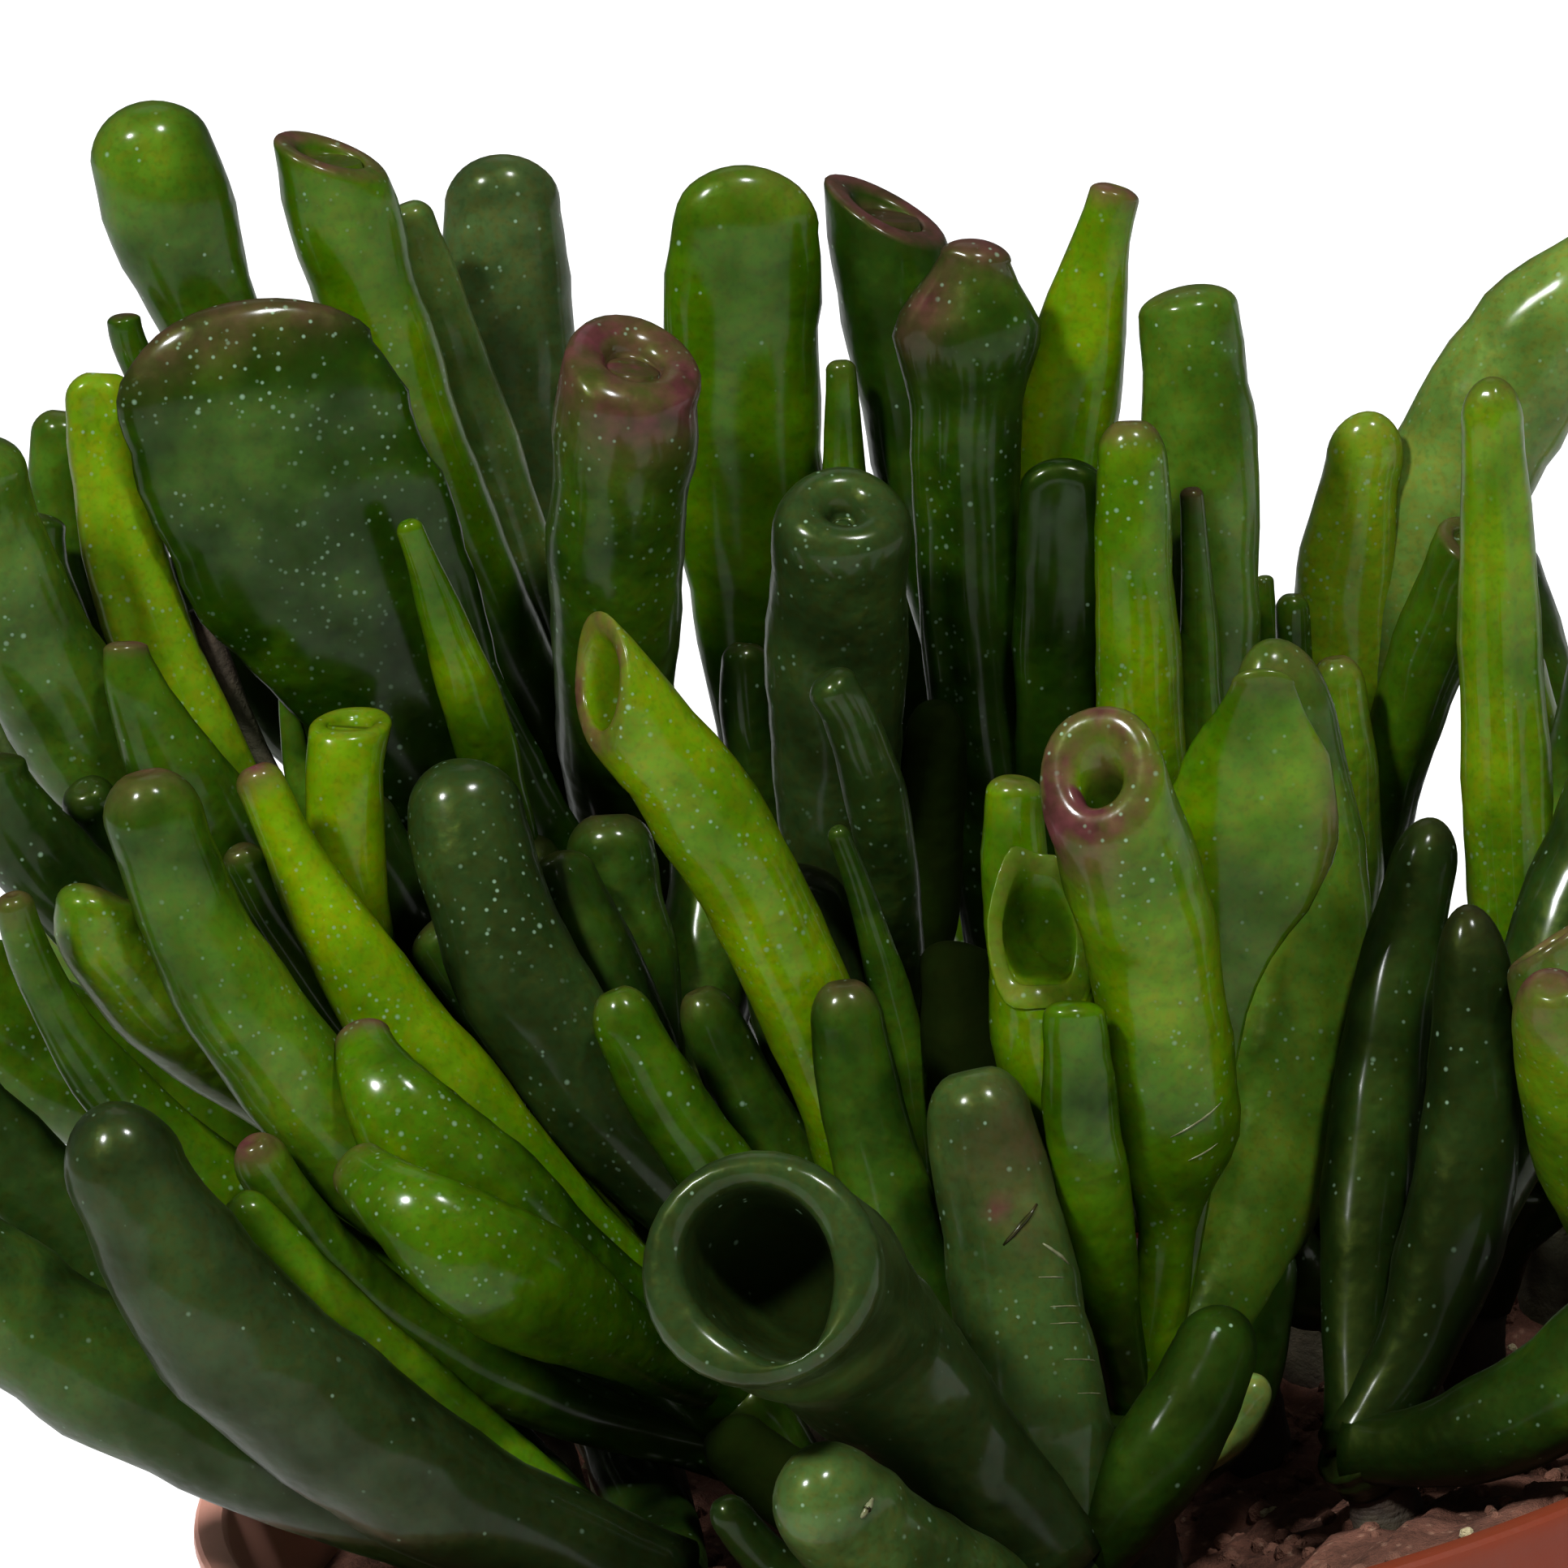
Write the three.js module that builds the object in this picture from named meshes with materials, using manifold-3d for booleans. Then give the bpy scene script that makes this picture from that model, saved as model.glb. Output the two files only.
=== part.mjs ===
// A trumpet jade in its pot: a plain plastic nursery pot, its soil, the short woody stems that stand in
// the soil, and on each stem a leafy shoot whose tubular leaves end in dishes, cups, clubs and points.
// Millimetres, +Z up, the origin on the table under the middle of the pot.
import * as THREE from 'three';
import Module from 'manifold-3d';
import { mergeVertices } from 'three/addons/utils/BufferGeometryUtils.js';

const wasm = await Module();
wasm.setup();

// ---------------------------------------------------------------- driving dimensions

const POT = {
  rimRadius: 52.5,
  height: 90,
  baseRadius: 37,
  wall: 1.5,
  lipHeight: 11,
  lipStep: 1.3,
  floor: 2,
  footRing: 1.4,
  padRadius: 13,
  facets: 32,
  holes: 5,
  holeRadius: 3.6,
  holeCircle: 24,
};
const RIM = POT.height;

const SOIL = {
  level: -8.5,
  gap: 0.35,
  rings: 4,
  facets: 28,
  heap: { x: 25, y: -31, height: 5.2, spread: 15 },
};

const STEM = {
  radius: 2.3,
  radii: [2.1, 2.3, 2.15, 2.0],
  depth: 12,
  sides: 6,
  woody: 0.42,
  holeGap: 0.4,
  holeSides: 7,
  joint: 0.3,
};
const SHOOT = { radius: 2.5, radii: [2.2, 2.5, 2.5, 1.4], sides: 6 };
const TWIG_RADII = [1.5, 1.5, 1.3];
const CLEAR = 0.55;

// ---------------------------------------------------------------- the front view

// The plant is laid out as it is seen from the front, from a little above and turned a little on its side.
// A place is [across, down, near]: millimetres across and down a drawing plane that passes through the
// middle of the rim, from the plane's top left corner, and millimetres towards the viewer from the pot's
// axis.
const VIEW = {
  tilt: THREE.MathUtils.degToRad(13.5),
  roll: THREE.MathUtils.degToRad(10),
  distance: 600,
  middle: [48.3, 48.3],
  rim: [63.5, 84.5],
};
const UP = new THREE.Vector3(0, 0, 1);
const VIEW_UP = new THREE.Vector3(0, Math.sin(VIEW.tilt), Math.cos(VIEW.tilt));
const TO_VIEWER = new THREE.Vector3(0, -Math.cos(VIEW.tilt), Math.sin(VIEW.tilt));

function onPlane(across, down) {
  const dx = across - VIEW.rim[0];
  const dy = VIEW.rim[1] - down;
  const x = dx * Math.cos(VIEW.roll) + dy * Math.sin(VIEW.roll);
  const y = dy * Math.cos(VIEW.roll) - dx * Math.sin(VIEW.roll);
  return new THREE.Vector3(x, 0, RIM).addScaledVector(VIEW_UP, y);
}

const EYE = onPlane(...VIEW.middle).addScaledVector(TO_VIEWER, VIEW.distance);

function seen([across, down, near]) {
  const ray = onPlane(across, down).sub(EYE);
  return EYE.clone().addScaledVector(ray, (-near - EYE.y) / ray.y);
}

// A direction [right, up, near] of the front view as a direction in space.
function facing([right, up, near]) {
  const x = right * Math.cos(VIEW.roll) + up * Math.sin(VIEW.roll);
  const y = up * Math.cos(VIEW.roll) - right * Math.sin(VIEW.roll);
  return new THREE.Vector3(x, 0, 0).addScaledVector(VIEW_UP, y).addScaledVector(TO_VIEWER, near).normalize();
}

// ---------------------------------------------------------------- the plant's plan

// Each shoot: its name, the foot of its stem on the soil [x, y], its crown [across, down, near],
// and its leaves: [where it leaves the stem, 0 to 1, tip, bend, width, thickness, neck, end, opening].
// The bend is the middle of the leaf's line, the neck is its width at the stem against its full width,
// and the opening is the way that a dish or cup faces [right, up, near].
const SHOOTS = [
  ["left_back", [-14, 9], [32, 53, -6], [
    [0.98, [8.6, 6.3, -14], [16.8, 28, -12], 8.0, 6.8, 0.6, "club"],
    [0.92, [13.8, 18.7, -5], [18.8, 36.5, -5], 17.6, 4.2, 0.45, "fan"],
    [0.85, [7.4, 19.4, -10], [15, 33, -10], 2.6, 2.4, 0.8, "tube"],
    [1.0, [25, 32, 0], [28.8, 43, -1], 3.8, 3.0, 0.8, "point"],
    [0.8, [12.4, 33.6, -13], [18, 45.6, -11], 7.2, 5.0, 0.7, "tube"],
  ]],
  ["left", [-24, 2], [24, 65, -2], [
    [0.9, [4.0, 25.2, -13], [11.2, 43, -12], 4.8, 3.8, 0.7, "tube"],
    [1.0, [6.3, 22.8, -8], [11.2, 41.5, -7], 5.4, 4.0, 0.85, "tube"],
    [0.95, [7.5, 39.5, 3.5], [12, 50, 3.5], 6.2, 5.0, 0.7, "point"],
    [0.85, [-2, 27, 3], [6, 46, 3], 8.0, 6.2, 0.6, "stout"],
    [0.8, [2.8, 31.6, -7], [9, 46, -6], 3.6, 3.2, 0.7, "tube"],
    [0.7, [-1, 46.4, 8], [8, 57, 7], 6.2, 5.0, 0.7, "tube"],
    [0.8, [4.6, 48.8, 6], [12, 58.6, 5], 4.2, 3.8, 0.7, "tube"],
    [0.6, [6.4, 54.4, 10], [12.5, 63, 8], 6.2, 5.2, 0.6, "stout"],
    [1.0, [21.7, 44.3, 0], [22, 54, -1], 4.8, 3.6, 0.9, "dish", [0, 0.9, 0.4]],
    [0.9, [17.6, 41.6, -6], [20.5, 52, -5], 2.6, 2.2, 0.8, "point"],
    [0.8, [-2, 42, -13], [8, 53, -10], 6.8, 5.6, 0.7, "tube"],
    [0.6, [-4, 60, 0], [10, 68.2, -1], 9.0, 6.4, 0.7, "stout"],
  ]],
  ["back_left", [-12, 21], [36.5, 51, -17], [
    [0.95, [20.2, 9.3, -14], [26.7, 30, -15], 6.7, 5.4, 0.75, "dish", [0.3, 0.85, 0.4]],
    [0.9, [24.9, 12.4, -21], [31, 30, -20], 3.8, 3.4, 0.75, "tube"],
    [1.0, [31.1, 9.5, -27], [32.1, 30, -24], 8.4, 5.0, 0.4, "spoon"],
    [0.9, [39.1, 21.8, -6], [37.8, 37.4, -9], 8.7, 7.8, 0.8, "dish", [0.25, 0.7, 0.65]],
  ]],
  ["back", [-2, 22], [50.5, 57.5, -20], [
    [1.0, [46.2, 10.2, -18], [46.1, 33, -19], 10.0, 4.8, 0.6, "spoon"],
    [0.9, [51.8, 22.1, -14], [52.2, 40, -15], 4.4, 3.6, 0.8, "point"],
    [0.8, [46, 39.5, -13], [47.5, 50, -14], 3.8, 3.4, 0.8, "tube"],
    [0.85, [56.7, 26.5, -20], [56.4, 42, -20], 3.2, 2.8, 0.8, "tube"],
  ]],
  ["middle", [-3, 4], [52.5, 65, -2], [
    [1.0, [52, 31, 0], [51.5, 48, -1], 8.6, 8.0, 0.75, "dish", [0.05, 0.6, 0.75]],
    [0.8, [50.7, 41.6, 9], [51.3, 53, 7], 3.8, 3.6, 0.8, "tube"],
    [0.9, [57.4, 43, -6], [56.6, 56, -6], 4.6, 4.0, 0.8, "tube"],
  ]],
  ["back_middle", [6, 12], [63, 60, -10], [
    [0.85, [54.5, 12.8, -20], [58, 34, -18], 7.4, 6.4, 0.45, "dish", [0.4, 0.8, 0.4]],
    [1.0, [60.3, 14.8, -9], [59.6, 34, -9], 8.9, 6.8, 0.75, "spear"],
    [0.95, [68.9, 11.4, -14], [64.9, 32, -13], 6.6, 5.2, 0.8, "horn"],
    [0.9, [65.4, 28.2, -7], [65, 44, -7], 5.8, 3.6, 0.6, "spoon"],
  ]],
  ["right_back", [13, 2], [72, 67.5, -4], [
    [1.0, [69.7, 25.7, -3], [70.7, 46, -3], 5.4, 4.6, 0.85, "tube"],
    [0.9, [72.9, 17.6, -12], [76, 38, -11], 7.1, 5.6, 0.7, "stout"],
    [0.85, [73.4, 30, -7], [74.4, 48, -7], 3.4, 3.2, 0.8, "point"],
  ]],
  ["far_right_back", [18, 18], [83.5, 60, -18], [
    [0.95, [82.3, 40.3, -13], [83.3, 51, -15], 4.2, 3.6, 0.8, "tube"],
    [1.0, [84.8, 25.4, -20], [82.3, 42, -20], 6.8, 5.2, 0.7, "finger"],
    [0.9, [106, 16.3, -23], [90, 28.4, -22], 9.6, 8.0, 0.5, "stout"],
    [0.95, [91, 33.2, -13], [85.8, 46.2, -15], 5.0, 4.6, 0.7, "dish", [0.3, 0.7, 0.6]],
    [0.7, [75.6, 35.7, -17], [77, 48, -17], 3.0, 2.8, 0.8, "tube"],
    [0.75, [78, 35.4, -20], [79.4, 48, -19], 2.6, 2.4, 0.8, "point"],
    [0.8, [79.6, 36.5, -16], [80.4, 49, -16], 2.6, 2.4, 0.8, "tube"],
  ]],
  ["right", [27, 4], [94, 72.5, -2], [
    [1.0, [91.9, 23.2, -5], [92.8, 47, -4], 5.5, 4.8, 0.9, "finger"],
    [0.9, [106, 40, -2], [99.8, 55, -2], 7.0, 6.2, 0.6, "stout"],
    [0.7, [111, 57, 0], [103, 67, 0], 6.6, 6.0, 0.6, "dish", [0.6, 0.5, 0.5]],
    [0.8, [101, 34, -14], [98, 53, -9], 5.6, 5.0, 0.6, "tube"],
  ]],
  ["bright", [4.5, -21], [70, 87, 22], [
    [0.95, [67.4, 47.4, 28], [71.6, 67, 23], 7.9, 7.0, 0.42, "ring", [-0.35, 0.2, 0.92]],
    [0.8, [62.7, 47.8, 15], [63.8, 63, 17], 4.4, 3.8, 0.6, "tube"],
    [0.75, [64, 57, 22], [65.2, 69.5, 22.5], 6.4, 5.6, 0.5, "hood", [0.2, 0.2, 0.95]],
    [0.9, [66.2, 61.6, 28], [66.6, 72, 27], 4.6, 3.0, 0.6, "tube"],
    [0.85, [77.8, 41.2, 19], [75.8, 58.5, 18], 10.6, 2.8, 0.28, "blade"],
    [1.0, [78, 39.4, 5], [79.8, 66, 9], 8.8, 6.4, 0.5, "finger"],
    [0.7, [78, 75, 14], [75, 86.5, 17], 6.4, 5.4, 0.7, "tube"],
    [0.65, [77.4, 84.6, 24], [75, 88.6, 24], 3.0, 2.8, 0.8, "stout"],
    [0.6, [59.6, 58.4, 8], [61.2, 69, 13], 5.2, 4.4, 0.7, "tube"],
  ]],
  ["right_front", [19, -25], [83.2, 89.2, 26], [
    [0.9, [88.4, 50.4, 9], [84.4, 69, 15], 5.6, 5.0, 0.7, "finger"],
    [1.0, [90.6, 55.7, 19], [89.8, 75, 22], 6.3, 5.8, 0.65, "finger"],
    [0.95, [102, 46, 6], [96.5, 66, 9], 7.8, 7.0, 0.6, "stout"],
    [1.0, [104.6, 74.6, 31], [94.6, 85.6, 29.5], 7.2, 6.4, 0.6, "stout"],
  ]],
  ["left_front", [-22, -25], [41, 97.8, 26], [
    [0.9, [6.6, 67.9, 27], [17.4, 85, 28], 9.6, 8.6, 0.75, "finger"],
    [0.7, [-7, 73.5, 20], [10, 86.4, 21], 8.6, 7.4, 0.6, "stout"],
    [0.8, [-5, 65, 13], [11, 81, 15], 7.4, 6.0, 0.6, "tube"],
    [1.0, [14.4, 73.6, 21], [25.2, 84.8, 23], 3.8, 3.6, 0.9, "tube"],
    [0.85, [29, 86.5, 8], [36, 94, 14], 5.2, 4.6, 0.7, "tube"],
    [0.8, [36.5, 86, 5], [39.5, 94, 14], 5.2, 4.6, 0.7, "tube"],
  ]],
  ["left_middle", [-14, -13], [45, 86, 14], [
    [0.85, [8.3, 47.5, 13.4], [21, 69.8, 13.2], 7.2, 6.2, 0.6, "tube"],
    [0.95, [15.3, 47.2, 7], [28, 66, 9], 6.4, 5.6, 0.8, "point"],
    [0.9, [14.7, 51.7, 6], [26, 68, 6], 3.4, 3.0, 0.8, "tube"],
    [0.9, [21.9, 63.6, 15], [31, 75.6, 15], 7.8, 5.2, 0.7, "point"],
    [1.0, [22.2, 71.4, 21], [31.8, 79.4, 21.4], 7.8, 5.8, 0.4, "point"],
    [0.7, [15.7, 69.8, 18], [28, 81.6, 18], 4.4, 4.0, 0.8, "tube"],
    [1.0, [32.8, 69.5, 10], [38.6, 77.2, 11], 4.6, 4.0, 0.8, "tube"],
    [0.6, [0.7, 55, 17], [16, 74, 16.4], 5.4, 4.6, 0.7, "point"],
  ]],
  ["front", [0, -34], [65, 97, 34], [
    [1.0, [46.6, 78.4, 49], [53, 83.6, 37.5], 13, 13.4, 0.6, "cup", [-0.12, 0.12, 0.97]],
    [0.9, [60.1, 65.4, 25], [63.4, 84, 30], 8.6, 7.2, 0.8, "blunt"],
    [0.85, [53.6, 79.8, 29], [58.2, 86, 31], 2.8, 2.6, 0.8, "tube"],
    [0.75, [43.5, 86, 14], [53, 94, 22], 5.2, 4.6, 0.7, "tube"],
    [0.8, [49.4, 89.3, 45], [56, 96.2, 41], 7.6, 6.6, 0.6, "stout"],
    [0.6, [44.3, 92.2, 36], [52.5, 99, 36], 3.2, 3.0, 0.8, "tube"],
    [0.7, [51.8, 60.2, 17], [56.4, 79.4, 22], 5.6, 5.0, 0.8, "tube"],
    [0.85, [75.8, 80.6, 29], [71.8, 89.2, 33], 7.2, 5.2, 0.7, "tube"],
  ]],
  ["inner_left", [-14, -2], [41, 72.5, 3], [
    [0.9, [21.6, 48.5, -5], [29, 61, -3], 5.4, 4.6, 0.7, "tube"],
    [1.0, [37.5, 50, -4], [38.4, 60, -3], 6.4, 5.4, 0.7, "tube"],
    [0.85, [27, 56.5, 2], [33, 64, 2], 5.6, 4.8, 0.7, "stout"],
    [0.95, [43.6, 51, -8], [42, 61, -5], 6.0, 5.2, 0.7, "tube"],
    [0.8, [33.4, 53, 2], [37.6, 63.5, 4], 4.8, 4.4, 0.7, "stout"],
    [0.9, [19.6, 52.5, -9], [27, 62, -6], 5.0, 4.4, 0.7, "tube"],
    [0.6, [33.2, 69.6, 0], [37.6, 74.6, 1], 5.4, 4.4, 0.8, "tube"],
  ]],
  ["inner_right", [23, -7], [81, 78, 4], [
    [1.0, [80.6, 58, -4], [81.2, 68, -1], 6.0, 5.2, 0.7, "tube"],
    [0.9, [85.4, 60.5, -3], [83.6, 70, 0], 5.4, 4.8, 0.7, "tube"],
    [0.85, [76.6, 63, -6], [78.4, 72, -1], 5.2, 4.6, 0.7, "stout"],
    [0.75, [88.2, 69, 2], [85, 76, 3], 5.2, 4.6, 0.7, "stout"],
    [0.8, [79.4, 74.5, 10], [80, 79, 8], 4.8, 4.4, 0.7, "tube"],
  ]],
  ["centre", [-4, -11], [54.5, 81, 12], [
    [0.9, [36.9, 41.6, 13], [48.6, 59.5, 13], 6.6, 6.2, 0.75, "hood", [-0.85, 0.05, 0.5]],
    [1.0, [37.5, 60.8, 13], [44.2, 72.4, 13], 4.9, 4.4, 0.8, "tube"],
    [0.95, [42.8, 60.8, 8], [48.6, 72, 9], 4.6, 4.2, 0.8, "tube"],
    [0.7, [28.5, 46.8, 2], [36, 66.5, 5], 7.8, 6.4, 0.6, "stout"],
    [0.85, [49.5, 53.2, 2], [53.4, 66.5, 5], 7.4, 5.2, 0.6, "stout"],
    [0.8, [51.4, 50.8, 10], [56, 67, 10], 3.2, 3.0, 0.8, "point"],
  ]],
];

// Shoots that stand behind and beside the others: name, foot [x, y], crown [x, y, height over the rim],
// the first leaf's heading in degrees from +X, and how many leaves.
const SIDE_SHOOTS = [
  ["side_right", [39, -4], [45, -5, 6], 0, 5],
  ["side_front_right", [34, -21], [38, -24, 5], -35, 4],
  ["side_left", [-31, 17], [-37, 21, 14], 150, 5],
  ["side_back_left", [-13, 35], [-16, 40, 7], 115, 6],
  ["side_back", [10, 34], [13, 39, 4], 80, 6],
  ["side_back_right", [34, 21], [44, 24, 14], 8, 4],
];

// Bare twigs that stand in the soil by themselves: name, foot [x, y], height of the stout part over the
// soil, tip, bend and thickness.
const TWIGS = [["dry_twig", [-27, 8], 5, [12.4, 37.4, -5], [25.2, 66.5, -7], 2.0]];

// ---------------------------------------------------------------- leaf shapes

// slim: how far along the leaf its neck stays slim. swell: where it reaches its full width.
// nose: its width at the end against the full width. cap: how far a closed end bulges, in half
// thicknesses, or in half widths where the end is flat. bowl: how deep an open end is, in widths.
// lip: how thick the round rim of an open end is, against half the width. steep: how far an open end may
// slant, and pinch: how far its furthest point draws in to a hood.
const ENDS = {
  tube: { swell: 0.5, nose: 0.8, cap: 1.5 },
  finger: { swell: 0.52, nose: 0.7, cap: 2.0 },
  blunt: { swell: 0.42, nose: 0.72, cap: 1.0 },
  club: { slim: 0.55, swell: 0.84, nose: 0.88, cap: 1.4 },
  stout: { swell: 0.6, nose: 0.88, cap: 1.3 },
  point: { swell: 0.45, nose: 0.44, cap: 1.2 },
  spoon: { swell: 0.75, nose: 0.86, cap: 1.0, flat: true },
  fan: { swell: 0.64, nose: 0.8, cap: 1.15, flat: true },
  blade: { slim: 0.4, swell: 0.68, nose: 0.32, cap: 1.2, flat: true },
  horn: { swell: 0.62, nose: 0.46, cap: 0.8 },
  spear: { slim: 0.68, swell: 0.82, nose: 0.45, cap: 1.1 },
  dish: { swell: 0.85, nose: 1, bowl: 0.16, lip: 0.2, steep: 1.1, pinch: 0 },
  cup: { swell: 0.96, nose: 1, bowl: 0.7, lip: 0.15, steep: 1.1, pinch: 0 },
  ring: { slim: 0.28, swell: 0.44, nose: 1, bowl: 0.5, lip: 0.3, steep: 1.1, pinch: 0 },
  hood: { swell: 0.8, nose: 1, bowl: 0.5, lip: 0.15, steep: 1.6, pinch: 0.35 },
};
const BODY_STATIONS = [0, 0.3, 0.62];
// A leaf that swells later than this along its length has a ring there too.
const LATE_SWELL = 0.8;
// The rings near the end. An open end deeper than DEEP_BOWL leans from LEAN_RING on and has a throat.
// depth: how far down the hollow or the closed end's bulge, and width against the hollow or the end.
const DEEP_BOWL = 0.4;
const LEAN_RING = { t: 0.84, lean: 0.4 };
const MOUTH = { depth: 0.3, width: 0.95 };
const THROAT = { depth: 0.85, width: 0.6, lean: 0.4 };
const SHOULDER = { depth: 0.32, width: 0.73 };

const smooth = (x) => {
  const t = Math.min(1, Math.max(0, x));
  return t * t * (3 - 2 * t);
};

function widthAt(leaf, t) {
  const { swell, nose } = leaf.end;
  const slim = leaf.end.slim ?? 0;
  if (t < swell) return leaf.neck + (1 - leaf.neck) * smooth((t - slim) / (swell - slim));
  return 1 + (nose - 1) * smooth((t - swell) / (1 - swell));
}

// The leaf's line passes through its base, its bend half-way, and its tip.
const shares = (t) => [(1 - t) * (1 - 2 * t), 4 * t * (1 - t), t * (2 * t - 1)];
const slopes = (t) => [4 * t - 3, 4 - 8 * t, 4 * t - 1];

const blend = (leaf, [a, b, c]) =>
  new THREE.Vector3()
    .addScaledVector(leaf.base, a)
    .addScaledVector(leaf.bend, b)
    .addScaledVector(leaf.tip, c);

const lengthOf = (leaf) => leaf.base.distanceTo(leaf.bend) + leaf.bend.distanceTo(leaf.tip);

// The centre, heading and two cross directions of a leaf at each of the given places along it.
function stations(leaf, places) {
  let across = null;
  return places.map((t) => {
    const centre = blend(leaf, shares(t));
    const along = blend(leaf, slopes(t)).normalize();
    if (!across) across = leaf.face.clone().cross(along).normalize();
    across = across.clone().addScaledVector(along, -across.dot(along)).normalize();
    return { t, centre, along, across, front: along.clone().cross(across) };
  });
}

// ---------------------------------------------------------------- bending leaves clear of each other

const BEADS = 10;
const TWIG_BEADS = 32;
const PASSES = 160;
const NEAR_BIAS = 0.6;
const STIFF = 0.25;
const FREE_FROM = 0.45;

// Balls that fill a leaf: one at each place along it, or several side by side where it is flat.
function beadsOf(leaf, leafIndex) {
  const count = leaf.bare ? TWIG_BEADS : BEADS;
  const places = Array.from({ length: count }, (_, k) => (k + 1) / count);
  return stations(leaf, places).flatMap(({ t, centre, across }) => {
    const scale = t === 1 ? leaf.end.nose : widthAt(leaf, t);
    const halfWidth = (leaf.wide * scale) / 2;
    const radius = (leaf.thick * scale) / 2;
    const spare = halfWidth - radius;
    const rows = spare < 0.8 ? [0] : spare < 2.5 ? [-1, 1] : [-1, -0.33, 0.33, 1];
    const size = spare < 0.8 ? (halfWidth + radius) / 2 : radius;
    return rows.map((row) => ({
      leafIndex,
      shoot: leaf.shoot,
      t,
      place: centre.clone().addScaledVector(across, row * spare),
      size,
    }));
  });
}

function beadsOfStem(shoot) {
  const places = [0.1, 0.25, 0.4, 0.55, 0.7, 0.85, 1];
  const size = SHOOT.radius;
  return places.map((t) => ({ leafIndex: -1, shoot: shoot.index, t, place: stemAt(shoot, t), size }));
}

// How high the soil or the rim stands under a place.
function groundAt(x, y) {
  const reach = Math.hypot(x, y);
  const overRim = smooth((reach - 44) / 4) * smooth((60 - reach) / 4);
  const soil = SOIL.level + heapAt(x, y);
  return RIM + soil + (0.3 - soil) * overRim - (reach > 56 ? 40 : 0);
}

// Leaves of one shoot meet at their feet, and keep clear of each other further up.
const bothFree = (one, two) => {
  const bothLeaves = one.leafIndex >= 0 && two.leafIndex >= 0 && one.leafIndex !== two.leafIndex;
  return bothLeaves && Math.min(one.t, two.t) > FREE_FROM;
};

function bendClear(shoots, leaves) {
  const stemBeads = shoots.flatMap(beadsOfStem);
  for (let pass = 0; pass < PASSES; pass++) {
    const beads = leaves.flatMap(beadsOf).concat(stemBeads);
    const moves = leaves.map(() => ({
      bend: new THREE.Vector3(),
      tip: new THREE.Vector3(),
      bendSum: 0,
      tipSum: 0,
    }));
    const push = (bead, way, amount) => {
      if (bead.leafIndex < 0) return;
      const move = moves[bead.leafIndex];
      const [, atBend, atTip] = shares(bead.t);
      const share = atBend * atBend + atTip * atTip + 0.02;
      move.bend.addScaledVector(way, (amount * amount * atBend) / share);
      move.tip.addScaledVector(way, (amount * amount * Math.max(0, atTip)) / share);
      move.bendSum += amount;
      move.tipSum += amount;
    };
    for (let i = 0; i < beads.length; i++) {
      const one = beads[i];
      for (let j = i + 1; j < beads.length; j++) {
        const two = beads[j];
        if (one.shoot === two.shoot && !bothFree(one, two)) continue;
        const need = one.size + two.size + CLEAR;
        const gap = one.place.clone().sub(two.place);
        if (Math.abs(gap.x) > need || Math.abs(gap.y) > need || Math.abs(gap.z) > need) continue;
        const apart = gap.length();
        if (apart >= need) continue;
        const depth = gap.dot(TO_VIEWER);
        const way = gap.clone().addScaledVector(TO_VIEWER, -depth).multiplyScalar(STIFF);
        way.addScaledVector(TO_VIEWER, depth + Math.sign(depth) * NEAR_BIAS).normalize();
        push(one, way, (need - apart) * 0.6);
        push(two, way.negate(), (need - apart) * 0.6);
      }
      if (one.leafIndex >= 0) {
        const sink = groundAt(one.place.x, one.place.y) + one.size + CLEAR - one.place.z;
        if (sink > 0) push(one, UP, sink);
      }
    }
    leaves.forEach((leaf, k) => {
      const move = moves[k];
      if (move.bendSum > 0) leaf.bend.addScaledVector(move.bend, 1 / move.bendSum);
      if (move.tipSum > 0) leaf.tip.addScaledVector(move.tip, 1 / move.tipSum);
    });
  }
}

// ---------------------------------------------------------------- stems and the plan in space

const heapAt = (x, y) => {
  const { heap } = SOIL;
  const away = (x - heap.x) ** 2 + (y - heap.y) ** 2;
  const lumps = 0.5 * Math.sin(x * 0.42 + 1.3) * Math.sin(y * 0.37) + 0.35 * Math.sin(x * 0.9 - y * 0.7);
  return heap.height * Math.exp(-away / heap.spread ** 2) + lumps;
};

// A stem rises straight out of the soil and then leans towards its crown.
function stemAt(shoot, t) {
  const knee = shoot.foot.clone();
  knee.z = (shoot.foot.z + shoot.crown.z) / 2;
  return new THREE.Vector3()
    .addScaledVector(shoot.foot, (1 - t) ** 2)
    .addScaledVector(knee, 2 * t * (1 - t))
    .addScaledVector(shoot.crown, t * t);
}

function footAt([x, y]) {
  return new THREE.Vector3(x, y, RIM + SOIL.level + heapAt(x, y));
}

const shoots = [];
const leaves = [];

function addLeaf(shoot, at, tip, bend, wide, thick, neck, kind, face, opening) {
  leaves.push({
    shoot: shoot.index,
    bare: shoot.bare,
    base: stemAt(shoot, at),
    tip,
    bend,
    wide,
    thick,
    neck,
    end: ENDS[kind],
    face,
    opening,
  });
}

for (const [name, foot, crown, rows] of SHOOTS) {
  const shoot = { name, index: shoots.length, foot: footAt(foot), crown: seen(crown) };
  shoots.push(shoot);
  for (const [at, tip, bend, wide, thick, neck, kind, opening] of rows) {
    const way = opening ? facing(opening) : null;
    addLeaf(shoot, at, seen(tip), seen(bend), wide, thick, neck, kind, TO_VIEWER, way);
  }
}

// Leaves stand in pairs, each pair a quarter turn from the one below, and curve upwards.
const PAIR_TURN = 90;
const GOLDEN_JITTER = 0.618;
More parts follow.
